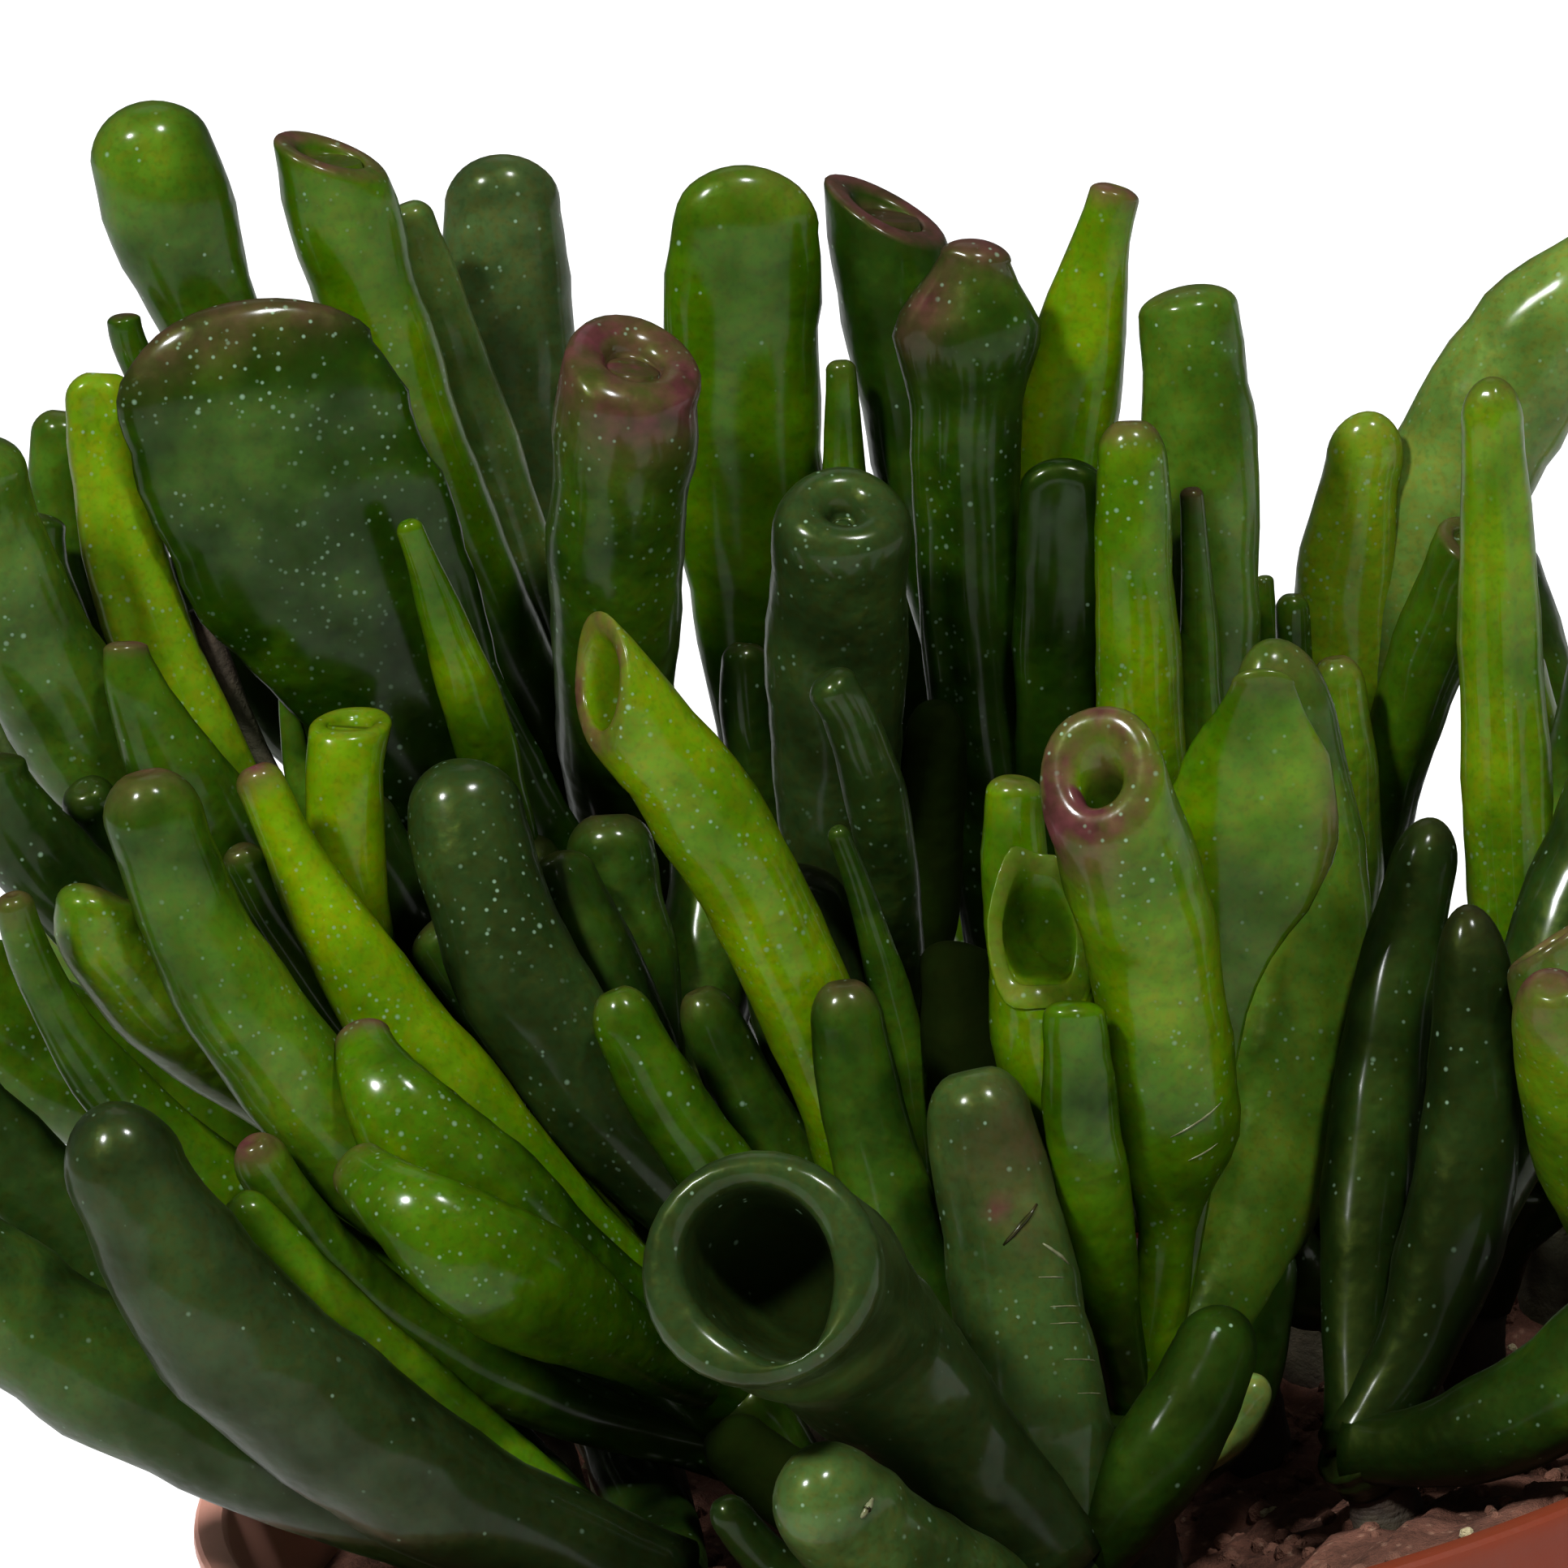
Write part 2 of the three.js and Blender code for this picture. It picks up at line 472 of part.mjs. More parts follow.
// Of a side leaf: its least length and width and what is added at random, how far it reaches and how much
// further outwards, where its bend lies against its reach and length, and how high its tip stands.
const SIDE = {
  wander: 30,
  step: 0.05,
  length: [26, 7],
  reach: [0.42, 0.3],
  bend: [0.55, 0.28],
  rise: 0.75,
  wide: [5.2, 2.4],
  depth: 0.85,
  neck: 0.6,
  ends: ["dish", "tube", "club", "cup"],
};
for (const [name, foot, [cx, cy, cz], heading, count] of SIDE_SHOOTS) {
  const crown = new THREE.Vector3(cx, cy, RIM + cz);
  const shoot = { name, index: shoots.length, foot: footAt(foot), crown };
  shoots.push(shoot);
  for (let k = 0; k < count; k++) {
    const spread = ((k + shoot.index) * GOLDEN_JITTER) % 1;
    const turn = heading + 180 * (k % 2) + PAIR_TURN * Math.floor(k / 2) + SIDE.wander * (spread - 0.5);
    const way = new THREE.Vector3(1, 0, 0).applyAxisAngle(UP, THREE.MathUtils.degToRad(turn));
    const at = 1 - SIDE.step * (count - 1 - k);
    const base = stemAt(shoot, at);
    const outward = (base.x * way.x + base.y * way.y) / Math.hypot(base.x, base.y);
    const length = SIDE.length[0] + SIDE.length[1] * spread;
    const reach = length * (SIDE.reach[0] + SIDE.reach[1] * outward);
    const bend = base.clone().addScaledVector(way, reach * SIDE.bend[0]);
    bend.addScaledVector(UP, length * SIDE.bend[1]);
    const tip = base.clone().addScaledVector(way, reach).addScaledVector(UP, length * SIDE.rise);
    const wide = SIDE.wide[0] + SIDE.wide[1] * spread;
    const opening = way.clone().multiplyScalar(0.5).add(UP).normalize();
    const kind = SIDE.ends[(k + shoot.index) % SIDE.ends.length];
    addLeaf(shoot, at, tip, bend, wide, wide * SIDE.depth, SIDE.neck, kind, UP, opening);
  }
}

for (const [name, foot, rise, tip, bend, thick] of TWIGS) {
  const at = footAt(foot);
  const crown = at.clone().addScaledVector(UP, rise);
  const shoot = { name, index: shoots.length, foot: at, crown, bare: true };
  shoots.push(shoot);
  addLeaf(shoot, 1, seen(tip), seen(bend), thick, thick, 1.3, "tube", TO_VIEWER, null);
}

bendClear(shoots, leaves);

// ---------------------------------------------------------------- solids

const LEAF_SIDES = [[4.1, 5], [7.7, 6], [99, 8]];

function closedGeometry(points, faces) {
  const geometry = new THREE.BufferGeometry();
  geometry.setAttribute('position', new THREE.Float32BufferAttribute(points.flat(), 3));
  geometry.setIndex(faces.flat());
  return geometry;
}

// Skins a list of rings, each with as many points, and closes both ends with a middle point.
function skin(rings, first, last) {
  const sides = rings[0].length;
  const points = rings.flat().map((p) => p.toArray());
  const faces = [];
  for (let r = 0; r + 1 < rings.length; r++) {
    for (let s = 0; s < sides; s++) {
      const a = r * sides + s;
      const b = r * sides + ((s + 1) % sides);
      faces.push([a, b, b + sides], [a, b + sides, a + sides]);
    }
  }
  const start = points.push(first.toArray()) - 1;
  const end = points.push(last.toArray()) - 1;
  const top = (rings.length - 1) * sides;
  for (let s = 0; s < sides; s++) {
    faces.push([start, (s + 1) % sides, s], [end, top + s, top + ((s + 1) % sides)]);
  }
  return closedGeometry(points, faces);
}

function leafGeometry(leaf) {
  const { end } = leaf;
  const length = lengthOf(leaf);
  const rows = BODY_STATIONS.map((t) => ({ t, scale: widthAt(leaf, t), lean: 0 }));
  let close;
  if (end.bowl) {
    const lip = (end.lip * leaf.wide) / 2 / length;
    const deep = (end.bowl * leaf.wide) / length;
    const hollow = 1 - 2 * end.lip;
    const isDeep = end.bowl > DEEP_BOWL;
    if (isDeep) rows.push({ ...LEAN_RING, scale: widthAt(leaf, LEAN_RING.t) });
    rows.push({ t: 1 - lip, scale: 1, lean: 1 });
    rows.push({ t: 1, scale: 1 - end.lip, lean: 1 });
    rows.push({ t: 1 - Math.max(lip, deep * MOUTH.depth), scale: hollow * MOUTH.width, lean: 1 });
    if (isDeep) rows.push({ t: 1 - deep * THROAT.depth, scale: hollow * THROAT.width, lean: THROAT.lean });
    close = 1 - deep;
  } else {
    const bulge = (end.cap * (end.flat ? leaf.wide : leaf.thick) * end.nose) / 2 / length;
    if (end.swell > LATE_SWELL) rows.push({ t: end.swell, scale: 1, lean: 0 });
    rows.push({ t: 1 - bulge, scale: widthAt(leaf, 1 - bulge), lean: 0 });
    rows.push({ t: 1 - bulge * SHOULDER.depth, scale: end.nose * SHOULDER.width, lean: 0 });
    close = 1;
  }
  const frames = stations(leaf, rows.map((row) => row.t).concat(close));
  const [, sides] = LEAF_SIDES.find(([upTo]) => leaf.wide < upTo);
  const rings = rows.map(({ scale, lean }, k) => {
    const { centre, along, across, front } = frames[k];
    return Array.from({ length: sides }, (_, s) => {
      const angle = (2 * Math.PI * (s + 0.5)) / sides;
      const spoke = across.clone().multiplyScalar((Math.cos(angle) * leaf.wide * scale) / 2);
      spoke.addScaledVector(front, (Math.sin(angle) * leaf.thick * scale) / 2);
      if (!lean || !end.bowl) return centre.clone().add(spoke);
      const share = lean * slantShare(spoke, along, leaf);
      const slant = share * end.steep * spoke.length();
      spoke.multiplyScalar(1 - end.pinch * Math.max(0, share));
      return centre.clone().add(spoke).addScaledVector(along, slant);
    });
  });
  return skin(rings, frames[0].centre, frames[frames.length - 1].centre);
}

// How far along the leaf a point of an open end is moved, from -1 to 1, so that the end faces the way
// of its opening.
function slantShare(spoke, along, { opening, end }) {
  const facingAlong = Math.max(0.25, opening.dot(along));
  const wish = -opening.dot(spoke) / facingAlong / (end.steep * spoke.length());
  return Math.min(1, Math.max(-1, wish));
}

function rodGeometry(centres, radii, sides) {
  const rings = centres.map((centre, k) => {
    const next = centres[Math.min(k + 1, centres.length - 1)];
    const last = centres[Math.max(k - 1, 0)];
    const along = next.clone().sub(last).normalize();
    const across = new THREE.Vector3(0, 1, 0).cross(along).normalize();
    const front = along.clone().cross(across);
    return Array.from({ length: sides }, (_, s) => {
      const angle = (2 * Math.PI * s) / sides;
      return centre
        .clone()
        .addScaledVector(across, Math.cos(angle) * radii[k])
        .addScaledVector(front, Math.sin(angle) * radii[k]);
    });
  });
  return skin(rings, centres[0], centres[centres.length - 1]);
}

function toSolid(geometry) {
  const bare = geometry.clone();
  bare.deleteAttribute('normal');
  bare.deleteAttribute('uv');
  const merged = mergeVertices(bare, 1e-4);
  return new wasm.Manifold(
    new wasm.Mesh({
      numProp: 3,
      vertProperties: new Float32Array(merged.attributes.position.array),
      triVerts: new Uint32Array(merged.index.array),
    }),
  );
}

function fromSolid(solid) {
  const mesh = solid.getMesh();
  const geometry = new THREE.BufferGeometry();
  geometry.setAttribute('position', new THREE.BufferAttribute(new Float32Array(mesh.vertProperties), 3));
  geometry.setIndex(new THREE.BufferAttribute(new Uint32Array(mesh.triVerts), 1));
  return geometry;
}

const group = new THREE.Group();

function addPiece(name, geometry, colour, roughness) {
  const material = new THREE.MeshStandardMaterial({ color: colour, roughness, metalness: 0 });
  const mesh = new THREE.Mesh(geometry, material);
  mesh.name = name;
  group.add(mesh);
}

// ---------------------------------------------------------------- the pot

function potGeometry() {
  const { rimRadius, height, baseRadius, wall, lipHeight, lipStep, floor, footRing } = POT;
  const shoulder = height - lipHeight;
  const neck = rimRadius - lipStep - 1.2;
  const profile = [
    [0, 0],
    [POT.padRadius, 0],
    [POT.padRadius + 1, footRing],
    [baseRadius - 5, footRing],
    [baseRadius - 4, 0],
    [baseRadius - 0.8, 0],
    [baseRadius, 0.8],
    [neck, shoulder - 1],
    [neck + lipStep, shoulder],
    [rimRadius, height - 0.6],
    [rimRadius - 0.6, height],
    [rimRadius - wall - 0.3, height],
    [rimRadius - wall - 0.7, height - 0.6],
    [neck - wall + 0.1, shoulder - 1],
    [baseRadius - wall, footRing + floor],
    [0, footRing + floor],
  ];
  const points = profile.map(([r, z]) => new THREE.Vector2(r, z));
  const lathe = new THREE.LatheGeometry(points, POT.facets);
  lathe.rotateX(Math.PI / 2);
  let solid = toSolid(lathe);
  for (let k = 0; k < POT.holes; k++) {
    const turn = (2 * Math.PI * k) / POT.holes;
    const drill = new THREE.CylinderGeometry(POT.holeRadius, POT.holeRadius, 20, 12);
    drill.rotateX(Math.PI / 2);
    drill.translate(POT.holeCircle * Math.cos(turn), POT.holeCircle * Math.sin(turn), 0);
    solid = solid.subtract(toSolid(drill));
  }
  return fromSolid(solid);
}

// The pot's inner radius at a height.
function boreAt(z) {
  const low = POT.footRing + POT.floor;
  const high = RIM - POT.lipHeight - 1;
  const narrow = POT.baseRadius - POT.wall;
  const mid = POT.rimRadius - POT.lipStep - 1.2 - POT.wall + 0.1;
  if (z < high) return narrow + ((mid - narrow) * (z - low)) / (high - low);
  return mid + ((POT.rimRadius - POT.wall - 0.7 - mid) * (z - high)) / (RIM - 0.6 - high);
}

// ---------------------------------------------------------------- the soil

function soilGeometry() {
  const { rings, facets, gap, level } = SOIL;
  const bottom = POT.footRing + POT.floor + gap;
  const facetSlack = 1 / Math.cos(Math.PI / facets);
  const circle = (radius, heightOf) =>
    Array.from({ length: facets }, (_, s) => {
      const turn = (2 * Math.PI * s) / facets;
      const x = radius * Math.cos(turn);
      const y = radius * Math.sin(turn);
      return new THREE.Vector3(x, y, heightOf(x, y));
    });
  const edge = boreAt(RIM + level - 1) - gap - 0.3;
  const shoulder = boreAt(RIM - POT.lipHeight - 1) / facetSlack - gap;
  const layers = [
    circle(boreAt(bottom) / facetSlack - gap, () => bottom),
    circle(shoulder, () => RIM - POT.lipHeight - 1),
  ];
  for (let k = 0; k < rings; k++) {
    const radius = (edge / facetSlack) * (1 - k / rings);
    layers.push(circle(radius, (x, y) => RIM + level + heapAt(x, y)));
  }
  const middle = new THREE.Vector3(0, 0, RIM + level + heapAt(0, 0));
  let solid = toSolid(skin(layers, new THREE.Vector3(0, 0, bottom), middle));
  const radius = (STEM.radius + STEM.holeGap) / Math.cos(Math.PI / STEM.holeSides);
  for (const shoot of shoots) {
    const drill = new THREE.CylinderGeometry(radius, radius, STEM.depth * 2, STEM.holeSides);
    drill.rotateX(Math.PI / 2);
    drill.translate(shoot.foot.x, shoot.foot.y, shoot.foot.z - STEM.joint);
    solid = solid.subtract(toSolid(drill));
  }
  return fromSolid(solid);
}

// ---------------------------------------------------------------- stems and leafy shoots

function stemGeometry(shoot) {
  const centres = [shoot.foot.clone().setZ(shoot.foot.z - STEM.depth), shoot.foot.clone()];
  for (const t of [0.2, STEM.woody]) centres.push(stemAt(shoot, t));
  return rodGeometry(centres, STEM.radii, STEM.sides);
}

function shootSolid(shoot) {
  const gapShare = STEM.joint / shoot.foot.distanceTo(shoot.crown);
  const start = STEM.woody + gapShare * 1.4;
  const places = [start, (start + 1) / 2, 1, 1.04];
  const centres = places.map((t) => stemAt(shoot, t));
  const axis = toSolid(rodGeometry(centres, SHOOT.radii, SHOOT.sides));
  return leaves
    .filter((leaf) => leaf.shoot === shoot.index)
    .reduce((whole, leaf) => whole.add(toSolid(leafGeometry(leaf))), axis);
}

function twigSolid(shoot) {
  const centres = [shoot.foot.clone().setZ(shoot.foot.z - STEM.depth), shoot.foot, shoot.crown];
  const leaf = leaves.find((one) => one.shoot === shoot.index);
  return toSolid(rodGeometry(centres, TWIG_RADII, STEM.sides)).add(toSolid(leafGeometry(leaf)));
}

addPiece('pot', potGeometry(), '#b1532f', 0.55);
addPiece('soil', soilGeometry(), '#3a241b', 0.95);
for (const shoot of shoots) {
  if (shoot.bare) {
    addPiece(shoot.name, fromSolid(twigSolid(shoot)), '#6d6152', 0.85);
    continue;
  }
  addPiece(`stem_${shoot.name}`, stemGeometry(shoot), '#6d6152', 0.85);
  addPiece(`shoot_${shoot.name}`, fromSolid(shootSolid(shoot)), '#4c7a1c', 0.35);
}

export default group;
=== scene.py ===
"""A trumpet jade in its pot: fleshy tubular leaves on short stems, soil and a plain plastic pot.

Metres, +Z up, the origin on the table under the middle of the pot. Plans and sizes below are millimetres
and are turned into metres when a mesh is made.
"""

import math
import random

import bmesh
import bpy
import numpy as np
from mathutils import Matrix, Vector


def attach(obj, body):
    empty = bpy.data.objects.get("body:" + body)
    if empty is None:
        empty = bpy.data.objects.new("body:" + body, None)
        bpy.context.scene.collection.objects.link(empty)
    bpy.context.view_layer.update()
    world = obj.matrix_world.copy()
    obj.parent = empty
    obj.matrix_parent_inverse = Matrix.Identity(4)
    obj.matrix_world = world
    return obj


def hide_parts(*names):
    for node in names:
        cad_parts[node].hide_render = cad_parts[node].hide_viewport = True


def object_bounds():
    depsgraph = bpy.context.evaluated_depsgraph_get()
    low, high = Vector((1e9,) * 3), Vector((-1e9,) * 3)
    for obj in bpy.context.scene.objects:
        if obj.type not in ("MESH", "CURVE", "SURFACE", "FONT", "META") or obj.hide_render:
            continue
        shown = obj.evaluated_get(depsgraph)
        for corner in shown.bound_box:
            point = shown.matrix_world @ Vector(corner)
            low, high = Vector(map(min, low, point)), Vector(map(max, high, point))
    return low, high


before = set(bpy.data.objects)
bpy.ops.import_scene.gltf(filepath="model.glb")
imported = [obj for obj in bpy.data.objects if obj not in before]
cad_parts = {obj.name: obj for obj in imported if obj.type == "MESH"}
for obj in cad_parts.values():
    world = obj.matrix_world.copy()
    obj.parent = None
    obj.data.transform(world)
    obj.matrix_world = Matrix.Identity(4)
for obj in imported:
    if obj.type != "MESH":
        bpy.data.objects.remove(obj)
cad_low, cad_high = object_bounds()

MM = 0.001
CIRCLE = 6.28

# ---------------------------------------------------------------- driving dimensions, in millimetres

RIM = 90.0
POT = dict(rim=52.5, base=37.0, wall=1.5, lip=11.0, lip_step=1.3, floor=2.0, foot=1.4, pad=13.0,
           holes=5, hole_radius=3.6, hole_circle=24.0)
SOIL_LEVEL = -8.5
HEAP = dict(x=25.0, y=-31.0, height=5.2, spread=15.0)
# Stems: the share of the way to the crown that is woody, how deep they stand, and their radii going up.
WOODY = 0.42
STEM_DEPTH = 12.0
STEM_JOINT = 0.3
STEM_RADII = [2.1, 2.3, 2.15, 2.0]
SHOOT_RADIUS = 2.5
SHOOT_RADII = [2.2, 2.5, 2.5, 1.4]
TWIG_RADII = [1.5, 1.5, 1.3]

# ---------------------------------------------------------------- the front view

# A place is [across, down, near]: across and down a drawing plane through the middle of the rim, from the
# plane's top left corner, and towards the viewer from the pot's axis.
TILT = math.radians(13.5)
ROLL = math.radians(10)
DISTANCE = 600.0
MIDDLE = (48.3, 48.3)
PLANE_SIZE = 96.6
RIM_PLACE = (63.5, 84.5)
UP = np.array([0.0, 0.0, 1.0])
VIEW_UP = np.array([0.0, math.sin(TILT), math.cos(TILT)])
TO_VIEWER = np.array([0.0, -math.cos(TILT), math.sin(TILT)])


def on_plane(across, down):
    dx, dy = across - RIM_PLACE[0], RIM_PLACE[1] - down
    x = dx * math.cos(ROLL) + dy * math.sin(ROLL)
    y = dy * math.cos(ROLL) - dx * math.sin(ROLL)
    return np.array([x, 0.0, RIM]) + VIEW_UP * y


EYE = on_plane(*MIDDLE) + TO_VIEWER * DISTANCE


def seen(place):
    across, down, near = place
    ray = on_plane(across, down) - EYE
    return EYE + ray * ((-near - EYE[1]) / ray[1])


def unit(v):
    return v / np.linalg.norm(v)


def facing(way):
    right, up, near = way
    x = right * math.cos(ROLL) + up * math.sin(ROLL)
    y = up * math.cos(ROLL) - right * math.sin(ROLL)
    return unit(np.array([x, 0.0, 0.0]) + VIEW_UP * y + TO_VIEWER * near)


# ---------------------------------------------------------------- the plant's plan

# Finishes: how bright a leaf is, how grey, how red its end is, and how speckled, each from 0 to 1. The
# brightness is the leaf's own tone together with painted light and shade for where it stands. A leaf
# with no brightness gets painted deep shade: darker, and without shine. SHADY and SHADY_GREY are the
# dark painted-shade finishes of the filler leaves inside the plant.
SHADY = (0.3, 0.3, 0.2, 0.3)
SHADY_GREY = (0.3, 0.4, 0.2, 0.2)

# Each shoot: name, the foot of its stem on the soil, its crown, and its leaves: where the leaf leaves the
# stem, tip, bend, width, thickness, neck, end, finish, and the way its opening faces [right, up, near], where
# it has one.
SHOOTS = [
    ("left_back", [-14, 9], [32, 53, -6], [
        (0.98, [8.6, 6.3, -14], [16.8, 28, -12], 8, 6.8, 0.6, "club", (0.6, 0.15, 0.1, 0.1)),
        (0.92, [13.8, 18.7, -5], [18.8, 36.5, -5], 17.6, 4.2, 0.45, "fan", (0.26, 0, 0.6, 1)),
        (0.85, [7.4, 19.4, -10], [15, 33, -10], 2.6, 2.4, 0.8, "tube", (0.4, 0.1, 0.5, 0.2)),
        (1, [25, 32, 0], [28.8, 43, -1], 3.8, 3, 0.8, "point", (0.6, 0, 0, 0.1)),
        (0.8, [12.4, 33.6, -13], [18, 45.6, -11], 7.2, 5, 0.7, "tube", (0.25, 0.2, 0.1, 0.2)),
    ]),
    ("left", [-24, 2], [24, 65, -2], [
        (0.9, [4, 25.2, -13], [11.2, 43, -12], 4.8, 3.8, 0.7, "tube", (0.45, 0.2, 0.3, 0.2)),
        (1, [6.3, 22.8, -8], [11.2, 41.5, -7], 5.4, 4, 0.85, "tube", (0.86, 0.05, 0.05, 0.7)),
        (0.95, [7.5, 39.5, 3.5], [12, 50, 3.5], 6.2, 5, 0.7, "point", (0.5, 0.1, 0.7, 0.4)),
        (0.85, [-2, 27, 3], [6, 46, 3], 8, 6.2, 0.6, "stout", (0.5, 0.25, 0.1, 0.5)),
        (0.8, [2.8, 31.6, -7], [9, 46, -6], 3.6, 3.2, 0.7, "tube", (0.35, 0.2, 0.2, 0.3)),
        (0.7, [-1, 46.4, 8], [8, 57, 7], 6.2, 5, 0.7, "tube", (0.25, 0.3, 0.2, 0.4)),
        (0.8, [4.6, 48.8, 6], [12, 58.6, 5], 4.2, 3.8, 0.7, "tube", (0.35, 0.2, 0.1, 0.2)),
        (0.6, [6.4, 54.4, 10], [12.5, 63, 8], 6.2, 5.2, 0.6, "stout", (0.8, 0.1, 0.6, 0.6)),
        (1, [21.7, 44.3, 0], [22, 54, -1], 4.8, 3.6, 0.9, "dish", (0.8, 0, 0.2, 0.4), [0, 0.9, 0.4]),
        (0.9, [17.6, 41.6, -6], [20.5, 52, -5], 2.6, 2.2, 0.8, "point", (0.5, 0.2, 0.3, 0)),
        (0.8, [-2, 42, -13], [8, 53, -10], 6.8, 5.6, 0.7, "tube", (0.2, 0.2, 0.1, 0.1)),
        (0.6, [-4, 60, 0], [10, 68.2, -1], 9, 6.4, 0.7, "stout", (0.6, 0.1, 0.1, 0.5)),
    ]),
    ("back_left", [-12, 21], [36.5, 51, -17], [
        (0.95, [20.2, 9.3, -14], [26.7, 30, -15], 6.7, 5.4, 0.75, "dish", (0.6, 0, 0.85, 0.5),
         [0.3, 0.85, 0.4]),
        (0.9, [24.9, 12.4, -21], [31, 30, -20], 3.8, 3.4, 0.75, "tube", (0.65, 0.75, 0.1, 1)),
        (1, [31.1, 9.5, -27], [32.1, 30, -24], 8.4, 5, 0.4, "spoon", (0.58, 1, 0.1, 0.3)),
        (0.9, [39.1, 21.8, -6], [37.8, 37.4, -9], 8.7, 7.8, 0.8, "dish", (0.45, 0.1, 1, 0.8),
         [0.25, 0.7, 0.65]),
    ]),
    ("back", [-2, 22], [50.5, 57.5, -20], [
        (1, [46.2, 10.2, -18], [46.1, 33, -19], 10, 4.8, 0.6, "spoon", (0.52, 0, 0.3, 0.1)),
        (0.9, [51.8, 22.1, -14], [52.2, 40, -15], 4.4, 3.6, 0.8, "point", (0.6, 0.1, 0.3, 0.1)),
        (0.8, [46, 39.5, -13], [47.5, 50, -14], 3.8, 3.4, 0.8, "tube", (0.3, 0.3, 0.2, 0.2)),
        (0.85, [56.7, 26.5, -20], [56.4, 42, -20], 3.2, 2.8, 0.8, "tube", (0.55, 0, 0, 0.1)),
    ]),
    ("middle", [-3, 4], [52.5, 65, -2], [
        (1, [52, 31, 0], [51.5, 48, -1], 8.6, 8, 0.75, "dish", (0.24, 0.8, 0, 0.5), [0.05, 0.6, 0.75]),
        (0.8, [50.7, 41.6, 9], [51.3, 53, 7], 3.8, 3.6, 0.8, "tube", (0.3, 0.6, 0, 0.4)),
        (0.9, [57.4, 43, -6], [56.6, 56, -6], 4.6, 4, 0.8, "tube", (0, 0.1, 0, 0)),
    ]),
    ("back_middle", [6, 12], [63, 60, -10], [
        (0.85, [54.5, 12.8, -20], [58, 34, -18], 7.4, 6.4, 0.45, "dish", (0.17, 0.1, 0.8, 0.1),
         [0.4, 0.8, 0.4]),
        (1, [60.3, 14.8, -9], [59.6, 34, -9], 8.9, 6.8, 0.75, "spear", (0.22, 0.1, 0.7, 1)),
        (0.95, [68.9, 11.4, -14], [64.9, 32, -13], 6.6, 5.2, 0.8, "horn", (0.75, 0, 0.9, 0.3)),
        (0.9, [65.4, 28.2, -7], [65, 44, -7], 5.8, 3.6, 0.6, "spoon", (0.06, 0.05, 0, 0.1)),
    ]),
    ("right_back", [13, 2], [72, 67.5, -4], [
        (1, [69.7, 25.7, -3], [70.7, 46, -3], 5.4, 4.6, 0.85, "tube", (0.62, 0, 0.8, 1)),
        (0.9, [72.9, 17.6, -12], [76, 38, -11], 7.1, 5.6, 0.7, "stout", (0.62, 0.25, 0.3, 0.5)),
        (0.85, [73.4, 30, -7], [74.4, 48, -7], 3.4, 3.2, 0.8, "point", (0.4, 0.2, 0.8, 0.6)),
    ]),
    ("far_right_back", [18, 18], [83.5, 60, -18], [
        (0.95, [82.3, 40.3, -13], [83.3, 51, -15], 4.2, 3.6, 0.8, "tube", (0.82, 0.15, 0.7, 0.5)),
        (1, [84.8, 25.4, -20], [82.3, 42, -20], 6.8, 5.2, 0.7, "finger", (1, 0.1, 0.3, 1)),
        (0.9, [106, 16.3, -23], [90, 28.4, -22], 9.6, 8, 0.5, "stout", (0.86, 0.6, 0.1, 0.4)),
        (0.95, [91, 33.2, -13], [85.8, 46.2, -15], 5, 4.6, 0.7, "dish", (0.6, 0.1, 0.8, 0.3),
         [0.3, 0.7, 0.6]),
        (0.7, [75.6, 35.7, -17], [77, 48, -17], 3, 2.8, 0.8, "tube", (0.4, 0.2, 0.2, 0.5)),
        (0.75, [78, 35.4, -20], [79.4, 48, -19], 2.6, 2.4, 0.8, "point", (0.4, 0.2, 0.3, 0.5)),
        (0.8, [79.6, 36.5, -16], [80.4, 49, -16], 2.6, 2.4, 0.8, "tube", (0.4, 0.2, 0.2, 0.5)),
    ]),
    ("right", [27, 4], [94, 72.5, -2], [
        (1, [91.9, 23.2, -5], [92.8, 47, -4], 5.5, 4.8, 0.9, "finger", (0.84, 0.05, 0.5, 0.9)),
        (0.9, [106, 40, -2], [99.8, 55, -2], 7, 6.2, 0.6, "stout", (0.45, 0.3, 0.4, 0.3)),
        (0.7, [111, 57, 0], [103, 67, 0], 6.6, 6, 0.6, "dish", (0.5, 0.2, 0.6, 0.3), [0.6, 0.5, 0.5]),
        (0.8, [101, 34, -14], [98, 53, -9], 5.6, 5, 0.6, "tube", (0.45, 0.3, 0.3, 0.3)),
    ]),
    ("bright", [4.5, -21], [70, 87, 22], [
        (0.95, [67.4, 47.4, 28], [71.6, 67, 23], 7.9, 7, 0.42, "ring", (0.68, 0, 1, 0.7),
         [-0.35, 0.2, 0.92]),
        (0.8, [62.7, 47.8, 15], [63.8, 63, 17], 4.4, 3.8, 0.6, "tube", (0.65, 0, 0.7, 0.5)),
        (0.75, [64, 57, 22], [65.2, 69.5, 22.5], 6.4, 5.6, 0.5, "hood", (0.68, 0, 0.3, 0.3),
         [0.2, 0.2, 0.95]),
        (0.9, [66.2, 61.6, 28], [66.6, 72, 27], 4.6, 3, 0.6, "tube", (0.55, 0, 0, 0.2)),
        (0.85, [77.8, 41.2, 19], [75.8, 58.5, 18], 10.6, 2.8, 0.28, "blade", (0.64, 0, 0.3, 0.2)),
        (1, [78, 39.4, 5], [79.8, 66, 9], 8.8, 6.4, 0.5, "finger", (0.66, 0.3, 0.5, 0.6)),
        (0.7, [78, 75, 14], [75, 86.5, 17], 6.4, 5.4, 0.7, "tube", (0.25, 0.2, 0, 0.1)),
        (0.65, [77.4, 84.6, 24], [75, 88.6, 24], 3, 2.8, 0.8, "stout", (1, 0.8, 0.2, 0)),
        (0.6, [59.6, 58.4, 8], [61.2, 69, 13], 5.2, 4.4, 0.7, "tube", (0, 0.3, 0, 0)),
    ]),
    ("right_front", [19, -25], [83.2, 89.2, 26], [
